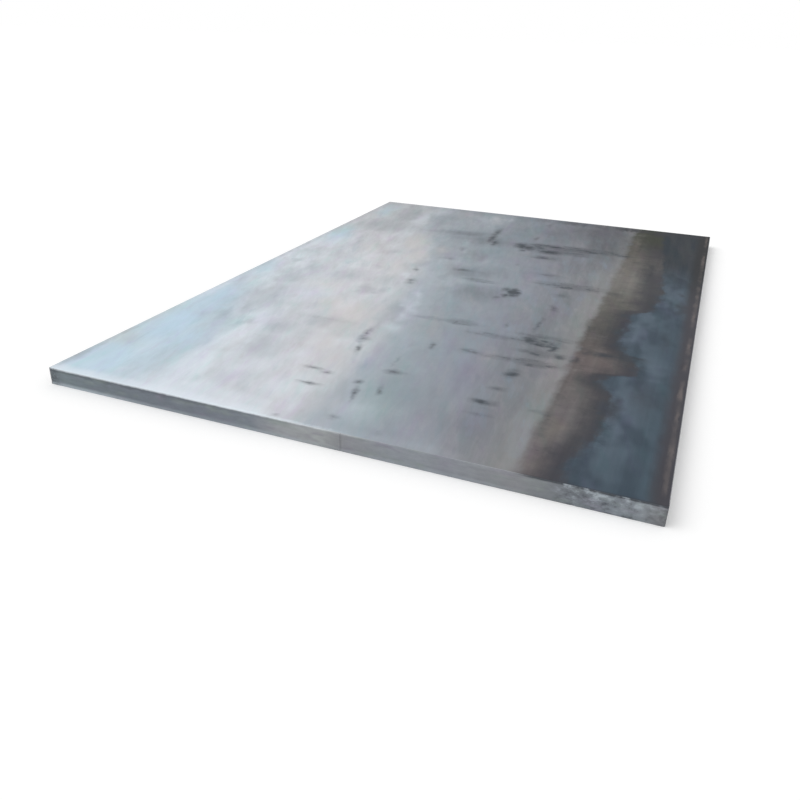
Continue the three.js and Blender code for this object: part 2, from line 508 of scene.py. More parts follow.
MARKS_AND_PAINTED_GLINTS: dict[Stain, tuple[Mark, ...]] = {
    Stain.BRUISE: marks(
        # The deep bruise in the middle, its pale left half, and the drip that hangs from it.
        (1224, 1490, 96, 190, 6, 2.2), (1190, 1520, 90, 130, 10, 1.2), (1200, 1440, 70, 110, 8, 1.5),
        (1088, 2208, 70, 110, 0, 1.1), (1172, 1395, 76, 100, -20, 0.8),
        # The long upright rub on the far half.
        (868, 2520, 78, 350, 3, 1.25), (878, 2380, 74, 300, 5, 1.3), (917, 2290, 70, 190, 6, 1.4),
        # The dark heart of the cross smear on the far half.
        (1068, 2295, 150, 240, 18, 1.6), (1108, 2275, 160, 170, 10, 1.6), (1165, 2300, 220, 170, 0, 1.1),
        (1232, 2240, 220, 140, 0, 1.8), (1235, 2350, 300, 90, 0, 1.3), (1400, 2350, 220, 100, 0, 1.4),
        (1215, 2115, 180, 120, 0, 1.2),
        # Single scuffs about the middle.
        (908, 1724, 170, 84, 0, 1.1), (1425, 1545, 150, 140, 0, 0.9), (752, 1440, 100, 230, 16, 0.95),
        (712, 1620, 64, 200, 20, 0.9), (1430, 1355, 150, 66, -65, 1.1), (1130, 1925, 70, 90, 0, 0.7),
        (1010, 1718, 90, 60, 0, 0.5),
        # The dark cluster on the near half.
        (1416, 1130, 48, 420, 0, 0.9), (1302, 1075, 48, 110), (1422, 965, 110, 190, 10, 1.6),
        (1450, 1000, 150, 80), (1512, 950, 120, 80, 0, 1.3), (1524, 905, 60, 130, -6, 1.7),
        (1556, 838, 90, 60, 0, 1.5), (1440, 625, 100, 150, -16, 1.25), (1425, 488, 120, 70),
        (1068, 467, 150, 70, 0, 1.1), (1412, 374, 150, 72, 0, 1.5), (1425, 335, 90, 60, 0, 0.5),
        (808, 380, 150, 56, -8), (865, 366, 100, 66, 10, 0.9), (850, 266, 170, 54),
        # Flecks that run along the plate.
        (834, 760, 60, 240, 4), (850, 695, 84, 110, 0, 1.1), (872, 605, 50, 160, 14, 1.1),
        (1107, 742, 46, 110, 16, 1.2), (1040, 560, 36, 240, 0, 0.6), (992, 340, 54, 64, 0, 1.1),
        (1015, 260, 40, 210, 12, 1.1), (1082, 310, 40, 150, 12), (1026, 85, 90, 70, 0, 0.9),
        (1190, 45, 60, 60, 0, 0.6), (862, 22, 70, 44, 0, 0.8), (235, 28, 150, 40, 0, 0.5),
        (1607, 830, 60, 70, 0, 1.1), (1607, 1200, 30, 120, 0, 0.9), (1916, 1625, 70, 90, 0, 0.9),
        (1975, 950, 40, 110, 0, 1.6),
    ),
    Stain.SCUFF: marks(
        # Rows across the plate, where it was dragged over bearers: long faint ones, with short strong ones on them.
        (1400, 2350, 780, 160), (1200, 2345, 300, 130, 0, 1.3), (1380, 2352, 260, 120, 0, 1.2),
        (1560, 2345, 330, 110, 0, 0.9), (1290, 2255, 560, 130, 0, 0.7), (1200, 2245, 230, 110),
        (1240, 2115, 220, 120, 0, 0.8), (1290, 1822, 300, 110, 0, 0.5), (1450, 1690, 460, 130, 0, 1.2),
        (1435, 1688, 260, 120, 0, 1.4), (1040, 1592, 250, 80, 0, 0.8), (1060, 1024, 440, 70, 0, 0.6),
        (1120, 1028, 200, 90, 0, 1.2), (1480, 1008, 320, 80, 0, 0.9), (1340, 942, 500, 80, 0, 0.8),
        (1480, 945, 200, 110, 0, 1.5), (1510, 842, 340, 80, 0, 0.8), (1490, 846, 200, 100),
        (1430, 746, 470, 80, 0, 0.8), (1490, 745, 250, 90, 0, 1.3), (1255, 752, 170, 70, 0, 0.7),
        (1430, 285, 190, 56, 0, 0.4), (1600, 380, 110, 50, 0, 0.8), (1760, 930, 320, 90, 0, 1.2),
        (1840, 2390, 220, 70, 0, 0.8), (640, 2410, 760, 190, 0, 0.3), (640, 830, 420, 60, 0, 0.35),
    ),
    Stain.SHADE: marks(
        (1460, 2760, 400, 860, 0, 1.3), (1290, 2800, 300, 500, 6, 0.8), (1108, 2835, 70, 240, 2, 0.9),
        (1190, 2680, 300, 640, 6, 0.7), (1300, 2300, 800, 300, 0, 0.8), (880, 2310, 360, 320),
        (900, 1990, 300, 420, 6, 0.6), (960, 1700, 500, 400, 0, 0.88), (795, 2100, 80, 140, 0, 0.8),
        (795, 1884, 120, 100, 0, 0.8), (1110, 2480, 60, 130), (720, 2420, 380, 170, 0, 0.9),
        (730, 2300, 260, 260, 0, 0.6), (1500, 2600, 280, 960, 0, 1.5), (850, 810, 100, 340, 2, 0.4),
        (1080, 1420, 460, 380, 0, 0.9), (1470, 640, 120, 560, 2, 0.25),
    ),
    Stain.SMUDGE: marks(
        (230, 2390, 460, 420, 0, 1.4), (260, 1430, 200, 380, 10, 0.9), (640, 1400, 300, 260, 8, 0.6),
        (700, 1720, 150, 320, 10, 0.8), (760, 1370, 200, 240, 10, 0.5), (250, 2700, 210, 640, 10, 1.4),
        (12, 130, 70, 320, 0, 1.2), (760, 2395, 460, 280, 0, 1.4), (540, 2390, 420, 240),
        (510, 2760, 150, 360, 10, 0.8), (505, 2560, 140, 500, 12, 0.9), (765, 1950, 200, 330, 10, 1.2),
        (220, 1270, 240, 400, 16, 1.3), (262, 960, 170, 640, 8, 1.4), (480, 1400, 380, 300, 6, 0.7),
        (610, 1250, 120, 220, 6, 1.2), (682, 1262, 80, 120, 0, 1.1), (250, 960, 340, 520, 10, 1.1),
        (495, 665, 220, 230), (540, 480, 210, 400, 12), (860, 1568, 64, 130, 8, 1.3),
        (825, 1060, 100, 260, 10, 1.2), (645, 1218, 120, 90, 0, 0.9), (220, 700, 190, 420, 10, 0.6),
        (835, 960, 120, 300, 8, 0.9), (630, 800, 340, 210, 0, 0.9), (110, 1700, 200, 340, 8, 0.8),
        (122, 1515, 110, 180), (372, 684, 100, 140, 10, 0.9), (1034, 728, 60, 110, 8),
        (526, 1588, 90, 130, 10, 0.6), (235, 1215, 150, 130, -20, 0.8), (498, 1870, 100, 150, 8, 0.9),
        (1150, 1608, 60, 120, 0, 0.9), (590, 1212, 70, 100), (250, 2300, 260, 220, 8),
        (250, 1700, 120, 260, 8, 0.5),
    ),
    Stain.WARM: marks(
        (540, 2090, 210, 560, 16, 1.2), (630, 1850, 180, 460, 12, 1.2), (600, 1640, 320, 560, 10, 0.7),
        (705, 2010, 120, 280, 14, 0.7), (330, 1930, 260, 460, 16, 0.6), (710, 900, 360, 560, 4, 1.1),
        (740, 600, 240, 520, 10, 0.7), (830, 480, 150, 360, 10, 0.7), (420, 1220, 280, 300, 14, 0.8),
        (560, 1010, 290, 260, 10, 0.8), (790, 2840, 130, 460, 8, 0.6), (590, 2870, 220, 420, 10, 0.5),
        (1984, 1030, 56, 380, 0, 1.4), (1988, 1750, 40, 160, 0, 0.8),
    ),
    Stain.FROST: marks(
        # Blue patches on the left, partly blue scale and partly a painted reflection of the bright sky.
        (105, 860, 290, 600, 8), (165, 760, 130, 240, 8, 0.8), (100, 520, 300, 560, 8, 1.2),
        (80, 130, 300, 460, 4, 1.6), (70, 110, 110, 150, 0, 1.4), (260, 430, 300, 400, 8, 0.7),
        (90, 2060, 240, 620, 8, 0.9), (60, 1350, 190, 420, 8, 0.6), (90, 2760, 200, 620, 8, 0.7),
    ),
    Stain.GLINT: marks(
        # Pale patches, partly pale scale and partly painted glints of the bright sky.
        (1330, 40, 460, 480, 0, 0.34), (360, 2630, 130, 480, 8, 1.3), (860, 2880, 90, 240, 4, 0.6),
        (430, 2880, 260, 420, 10, 0.7), (410, 2280, 160, 520, 12, 0.7), (765, 1610, 100, 300, 14, 0.25),
        (695, 1530, 60, 160, 14, 0.8), (846, 1270, 90, 440, 14, 0.6), (880, 1090, 120, 400, 14, 0.8),
        (760, 2800, 380, 760, 4, 0.65), (5, 950, 100, 620, 0, 1.4), (228, 105, 130, 180, 0, 0.8),
        (900, 1000, 110, 240, 0, 0.7), (900, 850, 130, 240, 8, 0.7), (780, 640, 130, 150, 0, 0.6),
        (380, 1180, 260, 260, 12, 0.4), (560, 60, 780, 220, 0, 1.6), (420, 190, 240, 560, 8, 1.3),
        (175, 260, 110, 560, 4, 0.5), (420, 1090, 260, 360, 14, 0.8), (400, 480, 160, 320, 10),
        (610, 340, 340, 520, 8, 0.7), (700, 470, 170, 260, 10, 0.7), (1080, 160, 380, 420, 4, 0.5),
        (770, 200, 330, 330, 6, 0.9), (870, 90, 140, 260, 6, 0.7),
    ),
    Stain.OCHRE: marks(
        # Lighter patches in the tan stripe.
        (1640, 60, 120, 260, 0, 0.5), (1650, 290, 110, 300, 0, 0.9), (1680, 850, 120, 140, 0, 0.4),
        (1644, 2030, 36, 300, 2, 1.5), (1690, 1900, 70, 340, 2, 0.7), (1650, 2330, 90, 280, 0, 0.8),
        (1632, 2640, 50, 420, 2, 0.7),
    ),
    Stain.GLOOM: marks(
        # Darker ones in the stripe and in the slate zone.
        (1672, 650, 120, 240, 10, 0.5), (1700, 930, 110, 60, -20, 0.9), (1725, 795, 120, 110, 0, 0.6),
        (1800, 945, 130, 50, -15), (1612, 840, 40, 90), (1640, 930, 60, 150, 0, 0.7),
        (1632, 1190, 50, 320, 0, 0.6), (1640, 1655, 120, 90, -20, 0.7), (1732, 2915, 150, 210, 0, 1.3),
        (1800, 490, 90, 280, 0, 1.2), (1775, 2420, 120, 420, 2, 0.8), (1760, 2060, 60, 420, 6, 0.8),
        (1914, 1798, 50, 100, 0, 0.9), (1757, 2178, 60, 150, 4, 1.1), (1735, 1280, 44, 380, 0, 0.9),
        (1745, 60, 70, 200, 0, 0.5), (1870, 160, 190, 220, 0, 0.2), (1880, 620, 170, 480, 4, 0.7),
        (1905, 1150, 90, 420, 0, 0.5), (1925, 1600, 60, 280),
    ),
    Stain.TEAL: marks(
        (1040, 2640, 150, 620, 4, 1.2), (970, 2110, 300, 340, 8, 0.8), (60, 2180, 160, 460, 6, 1.2),
        (110, 2720, 170, 560, 6), (60, 1290, 90, 200, 0, 0.8), (1470, 1000, 200, 420, 2, 0.8),
        (300, 650, 200, 260, 10, 0.6), (1545, 1240, 80, 460, 0, 0.8), (1830, 2560, 100, 360, 0, 0.8),
        (1110, 260, 260, 560, 6),
    ),
    Stain.LILAC: marks(
        (1290, 560, 200, 520, 6), (1430, 220, 170, 360, 2, 0.9), (1440, 1320, 110, 460, 4, 0.6),
        (1250, 1800, 260, 300, 4, 0.8), (420, 700, 170, 300, 10, 0.8), (370, 1080, 260, 360, 14, 0.7),
        (1110, 2720, 90, 560, 4, 0.8), (1450, 2780, 160, 460, 2, 0.8), (1745, 2480, 110, 320, 2),
        (1735, 1330, 60, 460, 0, 1.2), (1840, 1560, 200, 300, 4, 0.7),
    ),
}


# ---- Finishes ----------------------------------------------------------------------------------------------


@dataclass(frozen=True)
class Face:
    """What the layers of one material share.

    On the rolled face, across and along are metres from its near left corner. On a cut face, across is metres along
    the cut and along is metres above the underside. ragged is small soft noise.
    """

    g: Graph
    plate: "Plate"
    across: Socket
    along: Socket
    ragged: Socket


@dataclass(frozen=True)
class RolledTop:
    """Mill scale on the upper face, in bands along the rolling direction.

    From the left it is pale, where the scale is thin and where a reflection of the bright sky is painted in, then
    grey, then a tan stripe, then slate blue. A painted falloff of light darkens the whole face towards the far end.
    Tables are in millimetres from the near left corner: bands are (across, tint), stripe (along, tint), lean and
    scallops (along, across). All other lengths are in metres from the same corner. The field of a layer that is an
    Ease says where on the face it starts or ends, or at which level of a noise or a field of marks.
    """

    # The ground: band colours, whose pale ones on the left are partly thin scale and partly a painted reflection
    # of the bright sky, and how far they lean to the left on their way to the far end.
    bands: tuple[tuple[float, Tint], ...] = (
        (0, Tint(190, 202, 206)), (110, Tint(187, 206, 218)), (260, Tint(184, 198, 208)),
        (400, Tint(207, 214, 221)), (560, Tint(197, 202, 208)), (720, Tint(199, 201, 206)),
        (850, Tint(189, 193, 198)), (895, Tint(183, 188, 194)), (942, Tint(165, 173, 181)),
        (1100, Tint(148, 157, 165)), (1300, Tint(137, 142, 151)), (1450, Tint(124, 127, 133)),
        (1510, Tint(124, 127, 132)), (1590, Tint(130, 132, 134)),
    )
    lean: tuple[tuple[float, float], ...] = (
        (0, 0), (500, 60), (900, 250), (1400, 380), (2000, 550), (2300, 700), (2600, 770), (3000, 800),
    )
    lean_top: float = 1.0
    lean_start: float = 90 * MM
    lean_reach: float = 1.5
    drift: Weave = Weave((0.42, 0.60, 1.0))
    drift_reach: float = 45 * MM
    ragged: Weave = Weave((0.05, 0.09, 1.0), 4.0, 0.6, 3.0)
    ragged_reach: float = 22 * MM
    swaying: Ease = Ease(1.55, 1.25)

    # Mottle: clouds of two tints, and patches and strokes that only change the brightness.
    cloud: Weave = Weave((0.085, 0.36, 1.0), 4.0, 0.6, 43.0, 14.0, 3.0)
    cloud_full: float = 0.9
    cloud_force: float = 0.28
    cool_cloud: Tint = Tint(128, 154, 172)
    warm_cloud: Tint = Tint(168, 162, 162)
    broad: Weave = Weave((0.170, 0.42, 1.0), 3.0, 0.5, 61.0, 12.0, 2.0)
    broad_tone: Ease = Ease(1.3, 0.9, 0.015, 0.050)
    swell: Weave = Weave((0.060, 0.20, 1.0), 4.0, 0.6, 45.0, 13.0, 4.0)
    swell_tone: Ease = Ease(1.5, 1.2, 0.050, 0.075)
    leaning: Weave = Weave((0.034, 0.36, 1.0), 3.0, 0.55, 17.0, 15.0, 3.0)
    leaning_tone: Ease = Ease(1.3, 0.8, 0.030, 0.040)
    flake: Weave = Weave((0.070, 0.13, 1.0), 2.0, 0.5, 79.0, 12.0, 3.0)
    flake_tone: Ease = Ease(1.5, 1.1, 0.020, 0.045)
    brush: Weave = Weave((0.040, 0.34, 1.0), 3.0, 0.55, 57.0, 5.0, 3.0)
    brush_start: Ease = Ease(1.22, 1.40)
    brush_end: Ease = Ease(1.62, 1.57, 0.0, 0.12)
    mottle_growth: Ease = Ease(0.6, 2.2, 1.0, 1.45)
    ragged_tone: float = 0.042

    # Faint casts of colour.
    cast: Weave = Weave((0.060, 0.24, 1.0), 4.0, 0.65, 49.0, 10.0, 4.0)
    cast_full: float = 0.8
    cast_force: float = 0.9
    green_cast: Tint = Tint(243, 255, 251)
    violet_cast: Tint = Tint(255, 245, 255)
    teal: Tint = Tint(245, 255, 252)
    lilac: Tint = Tint(252, 248, 255)

    # Large soft tints, each with the share that shows at its strongest. The blue frost and the pale glint are partly
    # painted reflections of the bright sky.
    frost: Tint = Tint(185, 212, 232)
    frost_force: float = 0.50
    warm: Tint = Tint(205, 200, 198)
    warm_force: float = 0.50
    glint: Tint = Tint(222, 229, 238)
    glint_force: float = 0.42
    smudge: Tint = Tint(140, 148, 156)
    smudge_force: float = 0.38
    dusk: Tint = Tint(58, 59, 65)
    shade_force: float = 0.34
    fraying: tuple[float, float] = (0.09, 0.045)
    lump: Weave = Weave((0.05, 0.22, 1.0), 4.0, 0.6, 47.0, 14.0)
    lump_share: float = 0.45

    # The tan stripe: its tints, its straight left border and the beige band beside it.
    stripe: tuple[tuple[float, Tint], ...] = (
        (0, Tint(110, 104, 107)), (400, Tint(102, 100, 100)), (850, Tint(100, 92, 92)),
        (1150, Tint(85, 83, 80)), (1600, Tint(96, 95, 91)), (1950, Tint(117, 115, 112)),
        (2400, Tint(98, 95, 90)), (2850, Tint(74, 76, 68)),
    )
    tan_edge: Ease = Ease(1.582, 1.622)
    sway: Weave = Weave((1.0, 0.30, 1.0), 3.0, 0.6, 69.0)
    sway_reach: float = 13 * MM
    fringe: Weave = Weave((0.045, 0.080, 1.0), 4.0, 0.6, 51.0)
    fringe_reach: float = 13 * MM
    smear: Weave = Weave((0.10, 0.075, 1.0), 4.0, 0.6, 55.0, 0.0, 3.0)
    smear_dark: Ease = Ease(0.0, 1.0, 0.0, 0.55)
    smear_light: Ease = Ease(0.0, -1.0, 0.0, 0.22)
    beige: Tint = Tint(150, 147, 144)
    beige_sway: float = 28 * MM
    beige_edge: Ease = Ease(1.507, 1.537)
    beige_near: Ease = Ease(2.2, 1.8, 0.0, 0.24)
    beige_gaps: Ease = Ease(-0.6, 0.5, 0.3, 1.0)

    # The scalloped border right of it, and the dark heart of the stripe along that border, which is faint for a
    # stretch. The eases of edges are counted from the border.
    scallops: tuple[tuple[float, float], ...] = (
        (0, 1738), (100, 1728), (200, 1750), (300, 1775), (500, 1777), (600, 1765), (650, 1744), (745, 1742),
        (765, 1785), (785, 1822), (900, 1815), (950, 1792), (1000, 1760), (1100, 1739), (1250, 1742), (1400, 1745),
        (1465, 1770), (1500, 1812), (1600, 1830), (1800, 1834), (1900, 1828), (2000, 1814), (2100, 1803),
        (2250, 1800), (2400, 1786), (2600, 1765), (3000, 1755),
    )
    scallop_ragged: float = 18 * MM
    scallop_fringe: float = 16 * MM
    scallop_edge: Ease = Ease(-0.014, 0.020)
    olive: Tint = Tint(56, 60, 50)
    olive_start: Ease = Ease(2.4, 2.8)
    faint_start: Ease = Ease(2.0, 2.2)
    faint_end: Ease = Ease(2.6, 2.4, 0.0, 0.30)
    heart_near: Ease = Ease(0.45, 0.10)
    heart_near_reach: float = 8 * MM
    heart_far: Ease = Ease(1.45, 1.60)
    heart_far_reach: float = 30 * MM
    heart_edge: Ease = Ease(-0.12, -0.02, 0.0, 0.85)
    ochre: Tint = Tint(120, 115, 109)
    stain_cover: Ease = Ease(0.0, 1.0, 0.0, 0.6)

    # The slate zone, which turns to night and ash towards the far end, and the navy line along its border, whose
    # eases are counted from the border too.
    pale_slate: Tint = Tint(86, 99, 111)
    slate: Tint = Tint(69, 83, 94)
    slate_start: Ease = Ease(0.03, 0.18)
    navy: Tint = Tint(56, 68, 79)
    patch: Weave = Weave((0.100, 0.22, 1.0), 2.0, 0.5, 41.0, 8.0)
    patch_edge: Ease = Ease(-0.25, 0.45, 0.0, 0.75)
    night: Tint = Tint(45, 54, 63)
    night_start: Ease = Ease(1.75, 2.35)
    ash: Tint = Tint(58, 62, 66)
    ribbon: Weave = Weave((0.060, 0.70, 1.0), 3.0, 0.6, 63.0, 2.0)
    ribbon_edge: Ease = Ease(-0.4, 0.5, 0.0, 0.9)
    ribbon_tone: Ease = Ease(1.2, 2.4, 0.03, 0.13)
    line_start: Ease = Ease(-0.045, 0.0)
    line_end: Ease = Ease(0.060, 0.012, 0.0, 0.6)
    line_gaps: Ease = Ease(-0.5, 0.6)
    line_near: Ease = Ease(2.2, 1.6)
    dark_streak: float = 0.11
    dark_ragged: float = 0.06

    # Rubs and rows of scuffs, broken up by noise.
    bruise: Tint = Tint(62, 67, 73)
    nicking: tuple[float, float] = (0.035, 0.013)
    drawn: Weave = Weave((0.090, 0.030, 1.0), 4.0, 0.55, 19.0)
    drawn_share: float = 0.95
    nick: Weave = Weave((0.020, 0.045, 1.0), 3.0, 0.6, 65.0)
    nick_share: float = 0.30
    rub_break: float = 0.50
    rub_cover: Ease = Ease(0.15, 1.55, 0.0, 0.85)
    row_edge: Ease = Ease(0.0, 0.9)
    row_gaps: Ease = Ease(-0.15, 0.50, 0.36, 1.0)
    row_cover: float = 0.84

    # The right edge: a rusty strip, with a thin light line in it, partly worn and partly a painted highlight.
    nibble: Weave = Weave((0.02, 0.07, 1.0), 4.0, 0.65, 53.0)
    right_reach: float = 7 * MM
    strip: Ease = Ease(1.926, 1.974, 0.0, 0.9)
    strip_far: Ease = Ease(1.35, 1.65)
    strip_growth: float = 10 * MM
    rust: Tint = Tint(67, 65, 70)
    umber: Tint = Tint(49, 50, 52)
    umber_start: Ease = Ease(1.5, 2.2)
    lip: Tint = Tint(134, 124, 120)
    lip_start: Ease = Ease(1.970, 1.984)
    lip_end: Ease = Ease(1.994, 1.986, 0.0, 0.45)
    lip_break: Weave = Weave((1.0, 0.22, 1.0), 2.0, 0.6, 71.0)
    lip_gaps: Ease = Ease(-0.4, 0.6)

    # The left edge: a worn rim. Its wear is (along, thousandths of its full strength).
    rim_grey: Tint = Tint(152, 156, 160)
    left_reach: float = 10 * MM
    left_edge: Ease = Ease(34 * MM, 12 * MM)
    left_gaps: Ease = Ease(-0.5, 0.6, 0.04, 0.32)
    wear: tuple[tuple[float, float], ...] = (
        (0, 2000), (250, 1900), (450, 1000), (700, 350), (1150, 300), (1450, 1100), (1700, 1700), (2000, 1000),
        (3000, 900),
    )
    wear_top: float = 2.0

    # The far end: a dark fringe, whose first two eases are counted from the end.
    end_reach: float = 30 * MM
    end_start: Ease = Ease(-0.12, -0.06)
    end_fade: Ease = Ease(0.0, -0.045, 0.45, 1.0)
    end_left: Ease = Ease(0.9, 1.5, 0.10, 0.62)
    end_break: Weave = Weave((0.09, 1.0, 1.0), 3.0, 0.6, 73.0)
    end_gaps: Ease = Ease(-0.5, 0.5, 0.25, 1.3)

    # The near end: a painted sheen in a band along it, the bright arris, partly worn and partly a painted
    # highlight, and, on the right, a scorched rim.
    glow_reach: float = 12 * MM
    glow: Ease = Ease(60 * MM, 14 * MM)
    glow_left: Ease = Ease(0.92, 0.76, 0.07, 0.55)
    glow_end: Ease = Ease(1.50, 1.40)
    bright: Tint = Tint(224, 236, 243)
    near_reach: float = 6 * MM
    near_edge: Ease = Ease(16 * MM, 5 * MM)
    near_sway: float = 80 * MM
    near_end: Ease = Ease(1.20, 0.75, 0.0, 0.55)
    near_left: Ease = Ease(0.50, 0.72, 0.55, 1.0)
    scorch: Ease = Ease(60 * MM, 15 * MM, 0.0, 0.15)
    scorch_end: Ease = Ease(1.78, 1.72)
    char: Ease = Ease(12 * MM, 4 * MM, 0.0, 0.45)
    char_start: Ease = Ease(1.58, 1.66)

    # The whole face: a painted falloff of light, brighter at the near end and darker towards the far end, as its
    # brightness (along, thousandths), and noise makes small changes to it.
    painted_light_falloff: tuple[tuple[float, float], ...] = ((0, 1015), (600, 1000), (1700, 985), (2200, 880), (3000, 770))
    painted_light_falloff_top: float = 1.1
    streak: Weave = Weave((0.030, 0.90, 1.0), 4.0, 0.6, 7.0)
    streak_tone: float = 0.032
    hair_tone: float = 0.012
    grain_tone: float = 0.025
    stroke: Weave = Weave((0.013, 0.16, 1.0), 4.0, 0.65, 59.0, 9.0)
    stroke_tone: Ease = Ease(0.4, 2.2, 0.010, 0.024)
    bare: Ease = Ease(1.45, 0.75)
    pale_roughness: float = 0.44
    dark_roughness: float = 0.68
    grain_roughness: float = 0.05
    bruise_roughness: float = 0.10
    pale_metal: float = 0.35
    bruise_depth: float = 0.8

    def material(self, plate: "Plate") -> bpy.types.Material:
        """Writes the material.

        Args:
            plate: gives the face's size and corner.

        Returns:
            The material.
        """
        g = Graph("rolled_top")
        across, along = g.split(g.place((plate.low.x, plate.low.y, 0.0), 0.0, (1.0, 1.0, 1.0)))
        drift = g.noise(self.drift)
        ragged = g.noise(self.ragged)
        streak = g.noise(self.streak)
        hair = g.noise(HAIR)
        grain = g.noise(GRAIN)
        stroke = g.noise(self.stroke)
        frayed = g.frayed_place(*self.fraying)
        nicked = g.frayed_place(*self.nicking)
        face = Face(g, plate, across, along, ragged)

        leaned, colour = self._bands(face, drift)
        colour = self._mottle(face, colour)
        colour = self._tints(face, colour, frayed)
        colour = self._stripe(face, colour, streak, frayed)
        colour = self._casts(face, colour, frayed)
        bruised, colour = self._bruises(face, colour, nicked)
        colour = self._rims(face, colour)
        # Painted light: the whole face is brightened at the near end and darkened towards the far end.
        painted_light_falloff = g.curve(along, self.painted_light_falloff, plate.length, self.painted_light_falloff_top)
        tone = g.plus(g.times(streak, self.streak_tone), g.times(hair, self.hair_tone))
        tone = g.fused(stroke, g.step(along, self.stroke_tone), tone)
        tone = g.fused(grain, self.grain_tone, tone)
        colour = g.brighten(colour, g.plus(painted_light_falloff, tone))

        bare = g.step(leaned, self.bare)
        roughness = g.fused(bare, self.pale_roughness - self.dark_roughness, self.dark_roughness)
        roughness = g.plus(roughness, g.times(grain, self.grain_roughness))
        roughness = g.plus(roughness, g.times(bruised, self.bruise_roughness))
        metal = g.times(bare, self.pale_metal)
        height = g.plus(g.times(grain, GRAIN_DEPTH), g.times(hair, HAIR_DEPTH))
        height = g.math("SUBTRACT", height, g.times(bruised, self.bruise_depth))
        return g.surface(colour, roughness, metal, height, SCALE_RELIEF)

    def _bands(self, face: Face, drift: Socket) -> tuple[Socket, Socket]:
        """The ground left of the stripe: a ramp of band colours that leans to the left towards the far end.

        The lean is a curve of the way along, and dies out linearly with the way across.

        Args:
            face: what the layers share.
            drift: large soft noise.

        Returns:
            The leaned way across in metres, and the colour.
        """
        g, plate, across = face.g, face.plate, face.across
        lean = g.math("SUBTRACT", g.curve(face.along, self.lean, plate.length, self.lean_top), self.lean_start)
        share = g.math("MAXIMUM", g.fused(across, -1 / self.lean_reach, 1.0), 0.0)
        leaned = g.fused(lean, share, across)
        sway = g.plus(g.times(drift, self.drift_reach), g.times(face.ragged, self.ragged_reach))
        leaned = g.fused(sway, g.step(across, self.swaying), leaned)
        return leaned, g.ramp(leaned, self.bands, plate.width)

    def _mottle(self, face: Face, colour: Socket) -> Socket:
        """Clouds of cool and warm scale, and slanting brush strokes, which grow stronger towards the far end.

        Args:
            face: what the layers share.
            colour: the bands.

        Returns:
            The colour.
        """
        g, across = face.g, face.across
        cloud = g.noise(self.cloud)
        broad = g.noise(self.broad)
        swell = g.noise(self.swell)
        leaning = g.noise(self.leaning)
        flake = g.noise(self.flake)
        brush = g.noise(self.brush)
        for full, tint in ((self.cloud_full, self.cool_cloud), (-self.cloud_full, self.warm_cloud)):
            colour = g.blend(g.step(cloud, Ease(0.0, full, 0.0, self.cloud_force)), colour, tint)
        tone = g.times(brush, g.within((across, self.brush_start), (across, self.brush_end)))
        for patches, strength in ((leaning, self.leaning_tone), (broad, self.broad_tone),
                                  (flake, self.flake_tone), (swell, self.swell_tone)):
            tone = g.fused(patches, g.step(across, strength), tone)
        tone = g.times(tone, g.step(face.along, self.mottle_growth))
        return g.brighten(colour, g.plus(g.fused(face.ragged, self.ragged_tone, 1.0), tone))

    def _field(self, face: Face, stain: Stain, where: Socket) -> Socket:
        """The strongest of the marks of one kind at each point: each is a cone over an oval.

        Args:
            face: what the layers share.
            stain: the kind of mark.
            where: the coordinates to lay the marks on.

        Returns:
            The field, which is 0 outside every oval and a mark's force at its middle.
        """
        g, low = face.g, face.plate.low
        strongest: Value = 0.0
        for mark in MARKS_AND_PAINTED_GLINTS[stain]:
            middle = (low.x + mark.across * MM, low.y + mark.along * MM, 0.0)
            oval = g.place(middle, mark.lean, (mark.wide * MM / 2, mark.long * MM / 2, OVAL_HEIGHT), where)
            cone = g.node("TexGradient", {0: oval}, gradient_type="SPHERICAL").outputs[1]
            strongest = g.math("MAXIMUM", strongest, g.times(cone, mark.force))
        return strongest

    def _tints(self, face: Face, colour: Socket, frayed: Socket) -> Socket:
        """Lays the large soft tints over the ground.

        Args:
            face: what the layers share.
            colour: the ground.
            frayed: the coordinates to lay the marks on.

        Returns:
            The colour.
        """
        g = face.g
        layers = (
            (Stain.FROST, self.frost, self.frost_force),
            (Stain.WARM, self.warm, self.warm_force),
            (Stain.GLINT, self.glint, self.glint_force),
            (Stain.SMUDGE, self.smudge, self.smudge_force),
            (Stain.SHADE, self.dusk, self.shade_force),
        )
        lump = g.fused(g.noise(self.lump), self.lump_share, 1.0)
        for stain, tint, most in layers:
            amount = g.step(g.times(self._field(face, stain, frayed), lump), Ease(0.0, 1.0, 0.0, most))
            colour = g.blend(amount, colour, tint)
        return colour

    def _casts(self, face: Face, colour: Socket, frayed: Socket) -> Socket:
        """Patches of faint green and violet over the whole face, the colours of thin scale.

        Args:
            face: what the layers share.
            colour: the face so far.
            frayed: the coordinates to lay the marks on.

        Returns:
            The colour.
        """
        g = face.g
        cast = g.noise(self.cast)
        for full, tint in ((self.cast_full, self.green_cast), (-self.cast_full, self.violet_cast)):
            colour = g.blend(g.step(cast, Ease(0.0, full, 0.0, self.cast_force)), colour, tint, "MULTIPLY")
        for stain, tint in ((Stain.TEAL, self.teal), (Stain.LILAC, self.lilac)):
            colour = g.blend(g.step(self._field(face, stain, frayed), Ease()), colour, tint, "MULTIPLY")
        return colour

